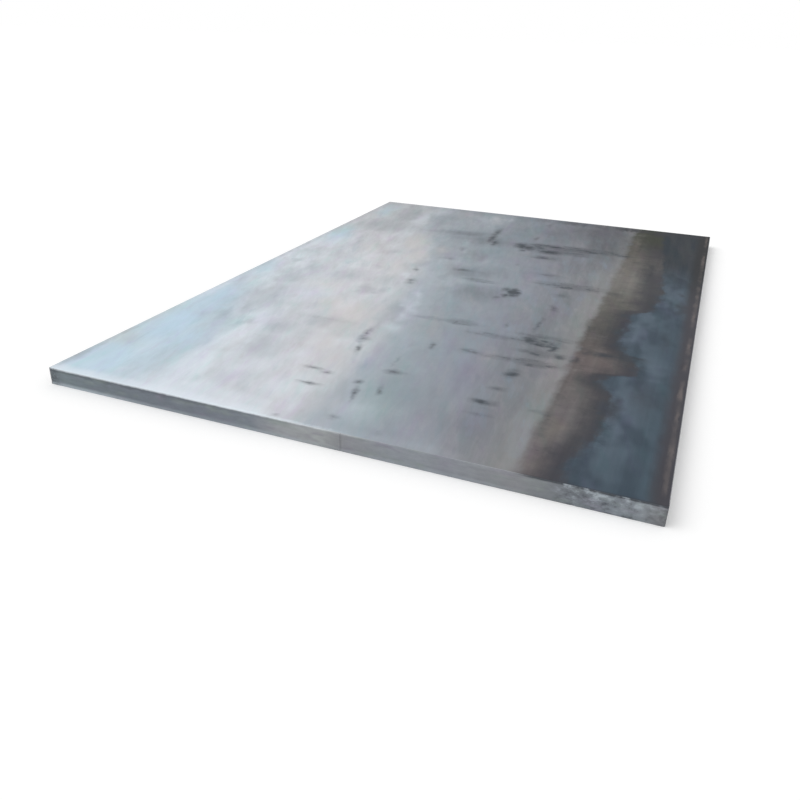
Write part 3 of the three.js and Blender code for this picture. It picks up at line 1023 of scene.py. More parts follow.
    def _stripe(self, face: Face, colour: Socket, streak: Socket, frayed: Socket) -> Socket:
        """The tan stripe with its straight left border and scalloped right one, and the slate zone.

        Args:
            face: what the layers share.
            colour: what lies to the left.
            streak: noise drawn out along the plate.
            frayed: the coordinates to lay the marks on.

        Returns:
            The colour.
        """
        g, plate, across, along = face.g, face.plate, face.across, face.along
        patch = g.noise(self.patch)
        fringe = g.noise(self.fringe)
        smear = g.noise(self.smear)
        ribbon = g.noise(self.ribbon)
        far = g.step(along, self.night_start)
        sway = g.noise(self.sway)
        straight = g.fused(sway, self.sway_reach, g.fused(fringe, self.fringe_reach, across))
        tan = g.ramp(along, self.stripe, plate.length)
        tan = g.blend(g.step(smear, self.smear_dark), tan, self.dusk)
        tan = g.blend(g.step(smear, self.smear_light), tan, self.beige)
        border = g.curve(along, self.scallops, plate.length, plate.width)
        wavy = g.plus(g.times(face.ragged, self.scallop_ragged), g.fused(fringe, self.scallop_fringe, across))
        past = g.math("SUBTRACT", wavy, border)
        heart = g.blend(g.step(along, self.olive_start), self.dusk, self.olive)
        faint = g.within((along, self.faint_start), (along, self.faint_end))
        reach = g.fused(g.step(along, self.heart_near), self.heart_near_reach, past)
        reach = g.fused(g.step(along, self.heart_far), self.heart_far_reach, reach)
        tan = g.blend(g.times(g.step(reach, self.heart_edge), g.math("SUBTRACT", 1.0, faint)), tan, heart)
        tan = g.blend(g.step(self._field(face, Stain.OCHRE, frayed), self.stain_cover), tan, self.ochre)
        slate = g.blend(g.step(past, self.slate_start), self.pale_slate, self.slate)
        slate = g.blend(g.step(patch, self.patch_edge), slate, self.navy)
        slate = g.blend(far, slate, g.blend(g.step(ribbon, self.ribbon_edge), self.night, self.ash))
        dark = g.blend(g.step(past, self.scallop_edge), tan, slate)
        line = g.within((past, self.line_start), (past, self.line_end), (smear, self.line_gaps),
                        (along, self.line_near))
        dark = g.blend(line, dark, self.navy)
        dark = g.blend(g.step(self._field(face, Stain.GLOOM, frayed), self.stain_cover), dark, self.dusk)
        dark = g.brighten(dark, g.fused(streak, self.dark_streak, 1.0))
        dark = g.brighten(dark, g.fused(ribbon, g.step(along, self.ribbon_tone), 1.0))
        dark = g.brighten(dark, g.fused(face.ragged, self.dark_ragged, 1.0))
        bent = g.fused(sway, self.beige_sway, straight)
        beside = g.within((bent, self.beige_edge), (along, self.beige_near), (ribbon, self.beige_gaps))
        colour = g.blend(beside, colour, self.beige)
        return g.blend(g.step(straight, self.tan_edge), colour, dark)

    def _bruises(self, face: Face, colour: Socket, nicked: Socket) -> tuple[Socket, Socket]:
        """Lays the dark rubs and the rows of scuffs over everything else.

        Noise breaks the rows into blotches. It is drawn out across the plate, the way that a plate is dragged.

        Args:
            face: what the layers share.
            colour: what lies under them.
            nicked: the coordinates to lay the marks on.

        Returns:
            How bruised each point is, and the colour.
        """
        g = face.g
        drawn = g.noise(self.drawn)
        nick = g.noise(self.nick)
        blotch = g.fused(nick, self.nick_share, g.times(drawn, self.drawn_share))
        rub = g.times(self._field(face, Stain.BRUISE, nicked), g.fused(blotch, self.rub_break, 1.0))
        row = g.step(self._field(face, Stain.SCUFF, nicked), self.row_edge)
        row = g.times(row, g.step(blotch, self.row_gaps))
        bruised = g.math("MAXIMUM", g.step(rub, self.rub_cover), g.times(row, self.row_cover))
        return bruised, g.blend(bruised, colour, self.bruise)

    def _rims(self, face: Face, colour: Socket) -> Socket:
        """What the four edges do to the face.

        Args:
            face: what the layers share.
            colour: the face so far.

        Returns:
            The colour.
        """
        g, plate, across, along = face.g, face.plate, face.across, face.along
        nibble = g.noise(self.nibble)
        shaken = g.fused(nibble, self.right_reach, across)
        strip = g.step(g.fused(g.step(along, self.strip_far), self.strip_growth, shaken), self.strip)
        colour = g.blend(strip, colour, g.blend(g.step(along, self.umber_start), self.rust, self.umber))
        # A thin light line in the strip: partly worn, partly a painted highlight along the right edge.
        line = g.within((shaken, self.lip_start), (shaken, self.lip_end))
        line = g.times(line, g.step(g.noise(self.lip_break), self.lip_gaps))
        colour = g.blend(line, colour, self.lip)

        left = g.within((g.fused(nibble, self.left_reach, across), self.left_edge), (face.ragged, self.left_gaps))
        left = g.times(left, g.curve(along, self.wear, plate.length, self.wear_top))
        colour = g.blend(left, colour, self.rim_grey)

        end = g.fused(nibble, self.end_reach, along)
        end = g.within((end, self.end_start.moved(plate.length)), (end, self.end_fade.moved(plate.length)),
                       (across, self.end_left))
        end = g.times(end, g.step(g.noise(self.end_break), self.end_gaps))
        colour = g.blend(end, colour, self.dusk)

        # A painted sheen in a band along the near end.
        glow = g.step(g.fused(face.ragged, self.glow_reach, along), self.glow)
        glow = g.times(glow, g.within((across, self.glow_left), (across, self.glow_end)))
        colour = g.blend(glow, colour, self.glint)
        # The near arris: partly worn bare steel, partly a painted highlight.
        near = g.step(g.fused(nibble, self.near_reach, along), self.near_edge)
        near = g.times(near, g.step(g.fused(nibble, self.near_sway, across), self.near_end))
        near = g.times(near, g.step(across, self.near_left))
        colour = g.blend(near, colour, self.bright)
        scorch = g.within((along, self.scorch), (across, self.scorch_end))
        char = g.math("MAXIMUM", scorch, g.step(along, self.char))
        return g.blend(g.times(char, g.step(across, self.char_start)), colour, self.dusk)


@dataclass(frozen=True)
class RolledUnderside:
    """Plain mill scale on the lower face, in soft bands along the rolling direction."""

    grey: Tint = Tint(128, 133, 139)
    dark: Tint = Tint(88, 95, 103)
    band: Weave = Weave((0.22, 2.4, 1.0), 3.0, 0.5, 21.0)
    mottle: Weave = Weave((0.09, 0.16, 1.0), 4.0, 0.6, 23.0)
    mottle_share: float = 0.5
    band_edge: Ease = Ease(-0.8, 0.8)
    grain_tone: float = 0.03
    hair_tone: float = 0.03
    grain_roughness: float = 0.05
    roughness: float = 0.5
    metallic: float = 0.25

    def material(self) -> bpy.types.Material:
        """Writes the material and returns it."""
        g = Graph("rolled_underside")
        band = g.noise(self.band)
        mottle = g.noise(self.mottle)
        hair = g.noise(HAIR)
        grain = g.noise(GRAIN)
        tone = g.plus(band, g.times(mottle, self.mottle_share))
        colour = g.blend(g.step(tone, self.band_edge), self.grey, self.dark)
        shade = g.plus(g.times(grain, self.grain_tone), g.fused(hair, self.hair_tone, 1.0))
        colour = g.brighten(colour, shade)
        height = g.plus(g.times(grain, GRAIN_DEPTH), g.times(hair, HAIR_DEPTH))
        roughness = g.fused(grain, self.grain_roughness, self.roughness)
        return g.surface(colour, roughness, self.metallic, height, SCALE_RELIEF)


@dataclass(frozen=True)
class TorchCut:
    """The cut faces, with their drag lines, a bright worn upper arris with a painted highlight, and splashes of slag.

    The near face has a row of tints along it, from the left: (way along it in millimetres, tint). The other faces
    carry on with its last ones, mixed by noise. All other lengths are in metres. An Ease over the height that has
    negative ends is counted down from the top face.
    """

    tints: tuple[tuple[float, Tint], ...] = (
        (0, Tint(122, 131, 137)), (60, Tint(122, 133, 139)), (300, Tint(118, 126, 134)),
        (620, Tint(122, 128, 138)), (780, Tint(128, 135, 144)), (880, Tint(158, 161, 165)),
        (1010, Tint(163, 167, 168)), (1080, Tint(144, 146, 150)), (1250, Tint(146, 151, 158)),
        (1420, Tint(143, 147, 154)), (1600, Tint(141, 143, 147)), (1740, Tint(122, 127, 133)),
        (1860, Tint(130, 137, 144)), (1930, Tint(138, 144, 150)), (2000, Tint(126, 125, 127)),
    )
    last_tint: float = 20 * MM
    violet: Tint = Tint(136, 132, 146)
    violet_edge: Ease = Ease(0.0, 0.8, 0.0, 0.55)
    green: Tint = Tint(138, 148, 144)
    green_edge: Ease = Ease(0.0, -0.8, 0.0, 0.55)
    soot: Tint = Tint(66, 70, 75)
    slag: Tint = Tint(190, 200, 208)
    bright: Tint = Tint(222, 230, 236)

    # Noises, and how much each of them changes the place of a tint, the brightness, the relief or the roughness.
    ragged: Weave = Weave((0.022, 0.022, 0.012), 4.0, 0.6, 31.0)
    ragged_tone: float = 0.055
    ragged_reach: float = 1.5 * MM
    ragged_turns: float = 0.35
    patch: Weave = Weave((0.085, 0.085, 0.030), 3.0, 0.5, 33.0)
    patch_reach: float = 25 * MM
    flow: Weave = Weave((0.050, 0.050, 0.010), 4.0, 0.6, 67.0, 0.0, 3.0)
    flow_tone: float = 0.130
    speck: Weave = Weave((0.006, 0.006, 0.004), 3.0, 0.7, 35.0)
    speck_tone: float = 0.045
    speck_depth: float = 0.6
    speck_roughness: float = 0.06
    drag_tone: float = 0.025
    drag_depth: float = 0.5
    splash_depth: float = 2.0
    relief: float = 0.12 * MM
    drag_pitch: float = 2.6 * MM
    drag_lag: float = 9 * MM
    roughness: float = 0.5
    metallic: float = 0.25

    # The pale lower rim, the dark line under the upper arris, the bright worn arris with its painted highlight,
    # and the charred one.
    pale_height: Ease = Ease(16 * MM, 2 * MM)
    pale_left: Ease = Ease(0.42, 0.20, 0.20, 0.60)
    pale_middle: Ease = Ease(1.05, 0.90, 0.0, 0.15)
    pale_end: Ease = Ease(1.68, 1.55, 0.2, 1.0)
    tick: Weave = Weave((0.045, 0.045, 0.012), 3.0, 0.6, 75.0)
    tick_reach: float = 9 * MM
    line_height: Ease = Ease(-16 * MM, -8 * MM)
    line_left: Ease = Ease(0.95, 0.45)
    line_force: float = 0.35
    rim_height: Ease = Ease(-6 * MM, -1 * MM)
    rim_left: Ease = Ease(1.30, 0.75, 0.04, 0.78)
    rim_middle: Ease = Ease(0.45, 0.65, 0.78, 1.0)
    char_height: Ease = Ease(-7 * MM, -2 * MM)
    char_start: Ease = Ease(1.58, 1.66, 0.0, 0.90)
    face_end: Ease = Ease(0.03, 0.0)

    # Slag on the right stretch, the pit in it, and soot flecks on both ends of the near face.
    lump: Weave = Weave((0.026, 0.026, 0.016), 4.0, 0.62, 37.0)
    lump_edge: Ease = Ease(-0.15, 0.60)
    slag_start: Ease = Ease(1.69, 1.75)
    slag_end: Ease = Ease(2.05, 1.87)
    slag_height: Ease = Ease(9 * MM, 51 * MM, 0.30, 1.0)
    slag_cover: float = 0.62
    gap_edge: Ease = Ease(-0.05, -0.75)
    gap_cover: float = 0.70
    pit_start: Ease = Ease(1.735, 1.770)
    pit_end: Ease = Ease(1.850, 1.800)
    pit_floor: Ease = Ease(10 * MM, 24 * MM)
    pit_roof: Ease = Ease(54 * MM, 42 * MM, 0.0, 0.5)
    pit_edge: Ease = Ease(0.3, -0.4, 0.0, 0.9)
    fleck: Weave = Weave((0.010, 0.010, 0.010), 3.0, 0.7, 39.0)
    fleck_edge: Ease = Ease(-0.5, 0.5, 0.10, 0.75)
    left_end: Ease = Ease(0.055, 0.004)
    right_end: Ease = Ease(1.95, 1.995, 0.0, 0.6)

    def material(self, plate: "Plate") -> bpy.types.Material:
        """Writes the material.

        Args:
            plate: gives the size of the cut faces and their run map.

        Returns:
            The material.
        """
        g = Graph("torch_cut")
        run, rise = g.split(g.node("UVMap", uv_map=plate.run_map).outputs[0])
        ragged = g.noise(self.ragged)
        patch = g.noise(self.patch)
        flow = g.noise(self.flow)
        speck = g.noise(self.speck)
        face = Face(g, plate, run, rise, ragged)

        place = g.math("MINIMUM", g.fused(patch, self.patch_reach, run), plate.width - self.last_tint)
        colour = g.ramp(place, self.tints, plate.width)
        colour = g.blend(g.step(patch, self.violet_edge), colour, self.violet)
        colour = g.blend(g.step(patch, self.green_edge), colour, self.green)
        colour = self._rims(face, colour)
        drag = self._drag(face)
        shade = g.plus(g.times(ragged, self.ragged_tone), g.times(speck, self.speck_tone))
        shade = g.fused(flow, self.flow_tone, shade)
        colour = g.brighten(colour, g.plus(shade, g.fused(drag, self.drag_tone, 1.0)))
        splash, colour = self._slag(face, colour)

        relief = g.plus(g.times(drag, self.drag_depth), g.times(speck, self.speck_depth))
        relief = g.plus(relief, g.times(splash, self.splash_depth))
        roughness = g.fused(speck, self.speck_roughness, self.roughness)
        return g.surface(colour, roughness, self.metallic, relief, self.relief)

    def _drag(self, face: Face) -> Socket:
        """Fine drag lines: a sine of the way along the cut, which lags with the square of the way down.

        Args:
            face: what the layers share.

        Returns:
            The lines, from -1 to 1.
        """
        g = face.g
        down = g.fused(face.along, -1 / face.plate.thickness, 1.0)
        lag = g.times(g.math("POWER", down, 2.0), self.drag_lag)
        turns = g.math("DIVIDE", g.math("SUBTRACT", face.across, lag), self.drag_pitch)
        turns = g.fused(face.ragged, self.ragged_turns, turns)
        return g.math("SINE", g.times(turns, math.tau))

    def _rims(self, face: Face, colour: Socket) -> Socket:
        """A pale lower rim, a dark line below the upper arris, and the bright arris of the near face's left part.

        Args:
            face: what the layers share.
            colour: the face so far.

        Returns:
            The colour.
        """
        g, run, top = face.g, face.across, face.plate.thickness
        height = g.fused(face.ragged, self.ragged_reach, face.along)
        pale = g.plus(g.step(run, self.pale_left), g.step(run, self.pale_middle))
        pale = g.times(pale, g.step(run, self.pale_end))
        colour = g.blend(g.times(g.step(height, self.pale_height), pale), colour, self.slag)
        left = g.step(run, self.line_left)
        tick = g.fused(g.noise(self.tick), self.tick_reach, face.along)
        line = g.times(g.step(tick, self.line_height.moved(top)), left)
        colour = g.blend(g.times(line, self.line_force), colour, self.soot)
        # The bright upper arris: worn bare steel with a painted highlight, strongest on the near face's left part.
        rim = g.within((height, self.rim_height.moved(top)), (run, self.rim_left), (run, self.rim_middle))
        colour = g.blend(rim, colour, self.bright)
        char = g.within((run, self.char_start), (run, self.face_end.moved(face.plate.width)),
                        (height, self.char_height.moved(top)))
        return g.blend(char, colour, self.soot)

    def _slag(self, face: Face, colour: Socket) -> tuple[Socket, Socket]:
        """Slag that splashed on the right stretch, thickest at its top, and soot flecks on the near face's ends.

        Args:
            face: what the layers share.
            colour: the face so far.

        Returns:
            How thick the slag stands, from 0 to 1, and the colour.
        """
        g, run, rise = face.g, face.across, face.along
        lump = g.noise(self.lump)
        fleck = g.noise(self.fleck)
        where = g.within((run, self.slag_start), (run, self.slag_end))
        upper = g.step(rise, self.slag_height)
        splash = g.times(g.times(g.step(lump, self.lump_edge), where), upper)
        colour = g.blend(g.times(splash, self.slag_cover), colour, self.slag)
        gap = g.times(g.step(lump, self.gap_edge), where)
        pit = g.within((run, self.pit_start), (run, self.pit_end), (rise, self.pit_floor), (rise, self.pit_roof))
        gap = g.math("MAXIMUM", gap, g.times(pit, g.step(lump, self.pit_edge)))
        colour = g.blend(g.times(gap, self.gap_cover), colour, self.soot)
        right = g.within((run, self.right_end), (run, self.face_end.moved(face.plate.width)))
        ends = g.plus(g.step(run, self.left_end), right)
        return splash, g.blend(g.times(ends, g.step(fleck, self.fleck_edge)), colour, self.soot)


# ---- The plate ---------------------------------------------------------------------------------------------


@dataclass(frozen=True)
class Restart:
    """An upright groove in the near cut face, where the torch went out and was lit again, in metres."""

    offset: float
    width: float
    depth: float


class Ripple:
    """Smooth seeded noise from 0 to 1: the sum of a few sine waves of about one length, in random headings.

    Each wave's length is a share of the mean one. The sum is divided so that its usual peaks come near 0 and 1.
    """

    LENGTH_SHARES: tuple[float, float] = (0.6, 1.6)
    USUAL_PEAK: float = 2.2

    def __init__(self, seed: int, size: float, waves: int = 9) -> None:
        """Draws the waves.

        Args:
            seed: the seed of the draw.
            size: the mean wave length, in metres.
            waves: how many waves are summed.
        """
        rng = np.random.default_rng(seed)
        turn = rng.uniform(0.0, math.tau, waves)
        pace = math.tau / (size * rng.uniform(*self.LENGTH_SHARES, waves))
        self.headings = pace * np.stack([np.cos(turn), np.sin(turn)])
        self.starts = rng.uniform(0.0, math.tau, waves)
        self.spread = self.USUAL_PEAK * math.sqrt(2 * waves)

    def at(self, place: np.ndarray) -> np.ndarray:
        """Reads the noise.

        Args:
            place: points in plan, (..., 2).

        Returns:
            One value a point.
        """
        total = np.sin(place @ self.headings + self.starts).sum(-1)
        return np.clip(0.5 + total / self.spread, 0.0, 1.0)


@dataclass(frozen=True)
class Columns:
    """The feet of the rim's columns on the outline, anticlockwise from the near left corner.

    place and normal are (N, 2). run is the way gone along the outline, with the whole way round as its last entry,
    (N + 1,). lap counts the sides gone, from 0 to 4, (N,).
    """

    place: np.ndarray
    normal: np.ndarray
    run: np.ndarray
    lap: np.ndarray


@dataclass
class Skin:
    """Faces of one finish: quads (Q, 4) and triangles (T, 3) of vertex numbers."""

    quads: np.ndarray
    triangles: np.ndarray


class Finish(Enum):
    """The material slots of the plate's mesh, in order."""

    TOP = 0
    CUT = 1
    UNDERSIDE = 2


@dataclass
class Plate:
    """The plate's visible skin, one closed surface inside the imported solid.

    A rim of many columns runs once round the plate. Each column climbs from the underside over the lower arris, up
    the cut face and over the upper arris. Inside the rim, each rolled face is a coarser even grid.
    """

    low: Vector
    high: Vector
    corner_radius: float = 5 * MM
    top_arris: float = 2 * MM
    bottom_arris: float = 1 * MM
    restarts: tuple[Restart, ...] = (
        Restart(91 * MM, 5 * MM, 1.6 * MM),
        Restart(767 * MM, 12 * MM, 1.1 * MM),
    )
    column_pitch: float = 2 * MM
    groove_columns: int = 9
    corner_columns: int = 8
    wall_rows: int = 7
    arris_rows: int = 3
    rim_shelf: float = 3.2 * MM
    grid_margin: float = 30 * MM
    grid_pitch: float = 30 * MM
    wave_depth: float = 0.22 * MM
    wave_pitch: float = 7.5 * MM
    wave_lag: float = 9 * MM
    wave_hurry: float = 2.5
    hurry_size: float = 0.25
    top_wave: float = 0.3
    least_wave: float = 0.4
    swell_size: float = 0.12
    wander_depth: float = 0.35 * MM
    wander_size: float = 0.35
    face_dip: float = 0.4 * MM
    dip_size: float = 0.7
    name: str = "rolled_plate"
    run_map: str = "cut_run"

    @property
    def width(self) -> float:
        """Size across the rolling direction."""
        return self.high.x - self.low.x

    @property
    def length(self) -> float:
        """Size along the rolling direction."""
        return self.high.y - self.low.y

    @property
    def thickness(self) -> float:
        """Size from the underside to the top."""
        return self.high.z - self.low.z

    def columns(self) -> Columns:
        """Walks the outline: each straight side is an even row of points, each corner an arc about its centre.

        The near side gets extra columns where a restart groove needs them.

        Returns:
            The columns.
        """
        half = np.array([self.width, self.length]) / 2
        place, normal, lap = [], [], []
        corner_share = 1e-4
        for side in range(4):
            reach = half[side % 2] - self.corner_radius
            steps = np.linspace(-reach, reach, round(2 * reach / self.column_pitch) + 1)
            if side == 0:
                fine = [r.offset + np.linspace(-0.5, 0.5, self.groove_columns) * r.width for r in self.restarts]
                steps = np.unique(np.round(np.concatenate([steps, *fine]), MICRON_DIGITS))
            quarter = side * math.pi / 2
            ahead = np.array([math.cos(quarter), math.sin(quarter)])
            out = np.array([ahead[1], -ahead[0]])
            away = half[(side + 1) % 2]
            place.append(steps[:, None] * ahead + away * out)
            normal.append(np.broadcast_to(out, (len(steps), 2)))
            share = 0.5 + steps / (2 * half[side % 2])
            lap.append(side + np.clip(share, corner_share, 1 - corner_share))
            turn = quarter - math.pi / 2 + np.linspace(0, math.pi / 2, self.corner_columns + 1)[1:-1]
            arc = np.stack([np.cos(turn), np.sin(turn)], -1)
            place.append(reach * ahead + (away - self.corner_radius) * out + self.corner_radius * arc)
            normal.append(arc)
            lap.append(side + 1 + corner_share * np.linspace(-0.9, 0.9, len(turn)))
        feet = np.concatenate(place)
        hops = np.linalg.norm(np.roll(feet, -1, axis=0) - feet, axis=1)
        run = np.concatenate([[0.0], np.cumsum(hops)])
        return Columns(feet, np.concatenate(normal), run, np.concatenate(lap))

    def profile(self) -> tuple[np.ndarray, np.ndarray]:
        """The rows of the rim from the underside up, each with its inset and its height.

        Each arris is a quarter circle cut into equal turns, and the wall between them is cut into equal heights. A
        shelf row lies just inside each arris, so that the rolled faces shade flat up to their edge.

        Returns:
            inset and height, each (R,).
        """
        turn = np.linspace(0, math.pi / 2, self.arris_rows + 1)
        low, top, shelf = self.bottom_arris, self.top_arris, self.rim_shelf
        wall = np.linspace(low, self.thickness - top, self.wall_rows)[1:-1]
        inset = [[shelf], low * (1 - np.sin(turn)), 0 * wall, top * (1 - np.cos(turn)), [shelf]]
        rise = [[0.0], low * (1 - np.cos(turn)), wall, self.thickness - top * (1 - np.sin(turn)), [self.thickness]]
        return np.concatenate(inset), np.concatenate(rise)

    def relief(self, columns: Columns, height: np.ndarray) -> np.ndarray:
        """How far the cut face lies inside the outline.

        It sums a slow wander of the torch, drag waves that lag behind it with the square of the way down and grow
        deeper on the way, and the restart grooves, which are half ellipses in plan.

        Args:
            columns: the rim's columns.
            height: the rows' heights.

        Returns:
            The depth in metres, (R, N).
        """
        down = 1 - height[:, None] / self.thickness
        wander = self.wander_depth * Ripple(seed=11, size=self.wander_size).at(columns.place)
        hurry = self.wave_hurry * Ripple(seed=12, size=self.hurry_size).at(columns.place)
        turns = (columns.run[:-1] - self.wave_lag * down**2) / self.wave_pitch + hurry
        swell = self.least_wave + (1 - self.least_wave) * Ripple(seed=13, size=self.swell_size).at(columns.place)
        growth = self.top_wave + (1 - self.top_wave) * down
        waves = self.wave_depth * growth * swell * (0.5 + 0.5 * np.sin(math.tau * turns))
        grooves = np.zeros(len(columns.place))
        near = columns.normal[:, 1] < -ALONG_AXIS
        for restart in self.restarts:
            off = (columns.place[:, 0] - restart.offset) / (restart.width / 2)
            grooves += near * restart.depth * np.sqrt(np.clip(1 - off**2, 0, 1))
        return wander + waves + grooves

    def rim(self, columns: Columns) -> np.ndarray:
        """The rim's points: each foot moved in along its normal by the row's inset and the cut's relief.

        Args:
            columns: the rim's columns.

        Returns:
            The points, (R, N, 3).
        """
        inset, height = self.profile()
        depth = inset[:, None] + self.relief(columns, height)
        plan = columns.place - depth[..., None] * columns.normal
        return np.concatenate([plan, np.broadcast_to(height[:, None, None], (*plan.shape[:2], 1))], -1)

    def grid(self, height: float) -> tuple[np.ndarray, np.ndarray]:
        """One rolled face inside the rim, an even grid.

        Args:
            height: its height.

        Returns:
            Its points (rows, columns, 3), and the numbers of its border points, anticlockwise from the near left.
        """
        half = np.array([self.width, self.length]) / 2 - self.grid_margin
        across, along = (np.linspace(-h, h, round(2 * h / self.grid_pitch) + 1) for h in half)
        points = np.stack([*np.meshgrid(across, along), np.full((len(along), len(across)), height)], -1)
        number = np.arange(points[..., 0].size).reshape(points.shape[:2])
        border = np.concatenate([number[0, :-1], number[:-1, -1], number[-1, :0:-1], number[:0:-1, 0]])
        return points, border

    def bridge(self, columns: Columns, rim: np.ndarray, border: np.ndarray, counts: tuple[int, int]) -> np.ndarray:
        """Sews the fine rim to the coarse border of a grid with fans of triangles that face up.

        Each rim edge meets the border point nearest to it by its share of the side, and a border edge meets the rim
        point where that changes.

        Args:
            columns: the rim's columns.
            rim: the vertex numbers of the rim's row, (N,).
            border: the vertex numbers of the grid's border, (M,).
            counts: the border's edges on a near and on a right side.

        Returns:
            The triangles, (T, 3).
        """
        lap = columns.lap
        middle = (lap + np.append(lap[1:], lap[0] + 4)) / 2
        side = np.floor(middle).astype(int)
        edges = np.array([*counts, *counts])
        first = np.concatenate([[0], np.cumsum(edges)[:-1]])
        owner = first[side % 4] + np.round((middle - side) * edges[side % 4]).astype(int)
        owner %= len(border)
        before = np.roll(owner, 1)
        fans = np.stack([rim, np.roll(rim, -1), border[owner]], -1)
        turns = np.flatnonzero(owner != before)
        gaps = np.stack([rim[turns], border[owner[turns]], border[before[turns]]], -1)
        return np.concatenate([fans, gaps])

    def skins(self, columns: Columns, rows: int, grids: list[tuple[np.ndarray, np.ndarray]]) -> dict[Finish, Skin]:
        """Numbers the faces of the rim, the two grids and what sews them together.

        The vertices are numbered rim first, row by row from the underside, then the lower grid, then the upper one.

        Args:
            columns: the rim's columns.
            rows: how many rows the rim has.
            grids: points and border of the lower and of the upper grid.

        Returns:
            The faces of each finish, all facing outwards.
        """
        count = len(columns.place)
        foot = np.arange(count)
        row = np.arange(rows - 1)[:, None] * count
        ahead = np.roll(foot, -1)
        wall = np.stack([row + foot, row + ahead, row + count + ahead, row + count + foot], -1)
        faces = []
        start = rows * count
        for (points, border), rim_row in zip(grids, (0, rows - 1)):
            number = start + np.arange(points[..., 0].size).reshape(points.shape[:2])
            cells = np.stack([number[:-1, :-1], number[:-1, 1:], number[1:, 1:], number[1:, :-1]], -1)
            counts = (points.shape[1] - 1, points.shape[0] - 1)
            sewn = self.bridge(columns, rim_row * count + foot, start + border, counts)
            faces.append((cells.reshape(-1, 4), sewn))
            start += number.size
        (low_cells, low_sewn), (top_cells, top_sewn) = faces
        none = np.zeros((0, 3), int)
        return {
            Finish.TOP: Skin(np.concatenate([top_cells, wall[-1]]), top_sewn),
            Finish.CUT: Skin(wall[1:-1].reshape(-1, 4), none),
            Finish.UNDERSIDE: Skin(np.concatenate([low_cells[:, ::-1], wall[0]]), low_sewn[:, ::-1]),
        }

    def build(self, materials: dict[Finish, bpy.types.Material]) -> bpy.types.Object:
        """Makes the plate's mesh object, with its place in its mesh.

        The top dips a little between its high spots: each height shrinks by the dip's share of the thickness.

        Args:
            materials: the material of each finish.

        Returns:
            The object, at the origin and unturned.
        """
        columns = self.columns()
        rim = self.rim(columns)
        grids = [self.grid(0.0), self.grid(self.thickness)]
        points = np.concatenate([rim.reshape(-1, 3), *(part[0].reshape(-1, 3) for part in grids)])
        dip = self.face_dip * Ripple(seed=14, size=self.dip_size).at(points[:, :2])
        points[:, 2] *= 1 - dip / self.thickness
        points += (np.array(self.low) + np.array(self.high)) * (0.5, 0.5, 0) + (0, 0, self.low.z)
        skins = self.skins(columns, len(rim), grids)

        corners = [part.ravel() for skin in skins.values() for part in (skin.quads, skin.triangles)]
        sizes = [size for skin in skins.values() for size in (
            np.full(len(skin.quads), 4), np.full(len(skin.triangles), 3))]
        slots = [np.full(len(skin.quads) + len(skin.triangles), finish.value) for finish, skin in skins.items()]
        corner, size = np.concatenate(corners), np.concatenate(sizes)
        mesh = bpy.data.meshes.new(self.name)
        mesh.vertices.add(len(points))
        mesh.vertices.foreach_set("co", points.ravel())
        mesh.loops.add(len(corner))
        mesh.loops.foreach_set("vertex_index", corner)
        mesh.polygons.add(len(size))
        mesh.polygons.foreach_set("loop_start", np.concatenate([[0], np.cumsum(size)[:-1]]))
        mesh.polygons.foreach_set("material_index", np.concatenate(slots))
        mesh.polygons.foreach_set("use_smooth", np.ones(len(size), bool))
        mesh.update(calc_edges=True)
        self.map_run(mesh, columns, points, corner, len(rim))
        mesh.validate()
        for finish in Finish:
            mesh.materials.append(materials[finish])
        plate = bpy.data.objects.new(self.name, mesh)
        bpy.context.scene.collection.objects.link(plate)
        return plate

    def map_run(self, mesh: bpy.types.Mesh, columns: Columns, points: np.ndarray, corner: np.ndarray,
                rows: int) -> None:
        """Gives the mesh a map of the cut faces in metres: the way along the rim, and the height.

        Corners of the last column's faces that belong to the first column read the whole way round, so no face
        runs backwards.

        Args:
            mesh: the mesh.
            columns: the rim's columns.
            points: the mesh's points.
            corner: the vertex number of each face corner.
            rows: how many rows the rim has.
        """
        count = len(columns.place)
        run = np.zeros(len(points))
        run[: rows * count] = np.tile(columns.run[:-1], rows)
        way = run[corner]
        closing = (corner % count == 0) & (corner < rows * count)
        beside = np.stack([np.roll(way, 1), np.roll(way, -1)]).max(0)
        way[closing & (beside > columns.run[-1] / 2)] = columns.run[-1]
        uv = mesh.uv_layers.new(name=self.run_map)
        uv.data.foreach_set("uv", np.stack([way, points[corner, 2]], -1).ravel())


# ---- The studio --------------------------------------------------------------------------------------------


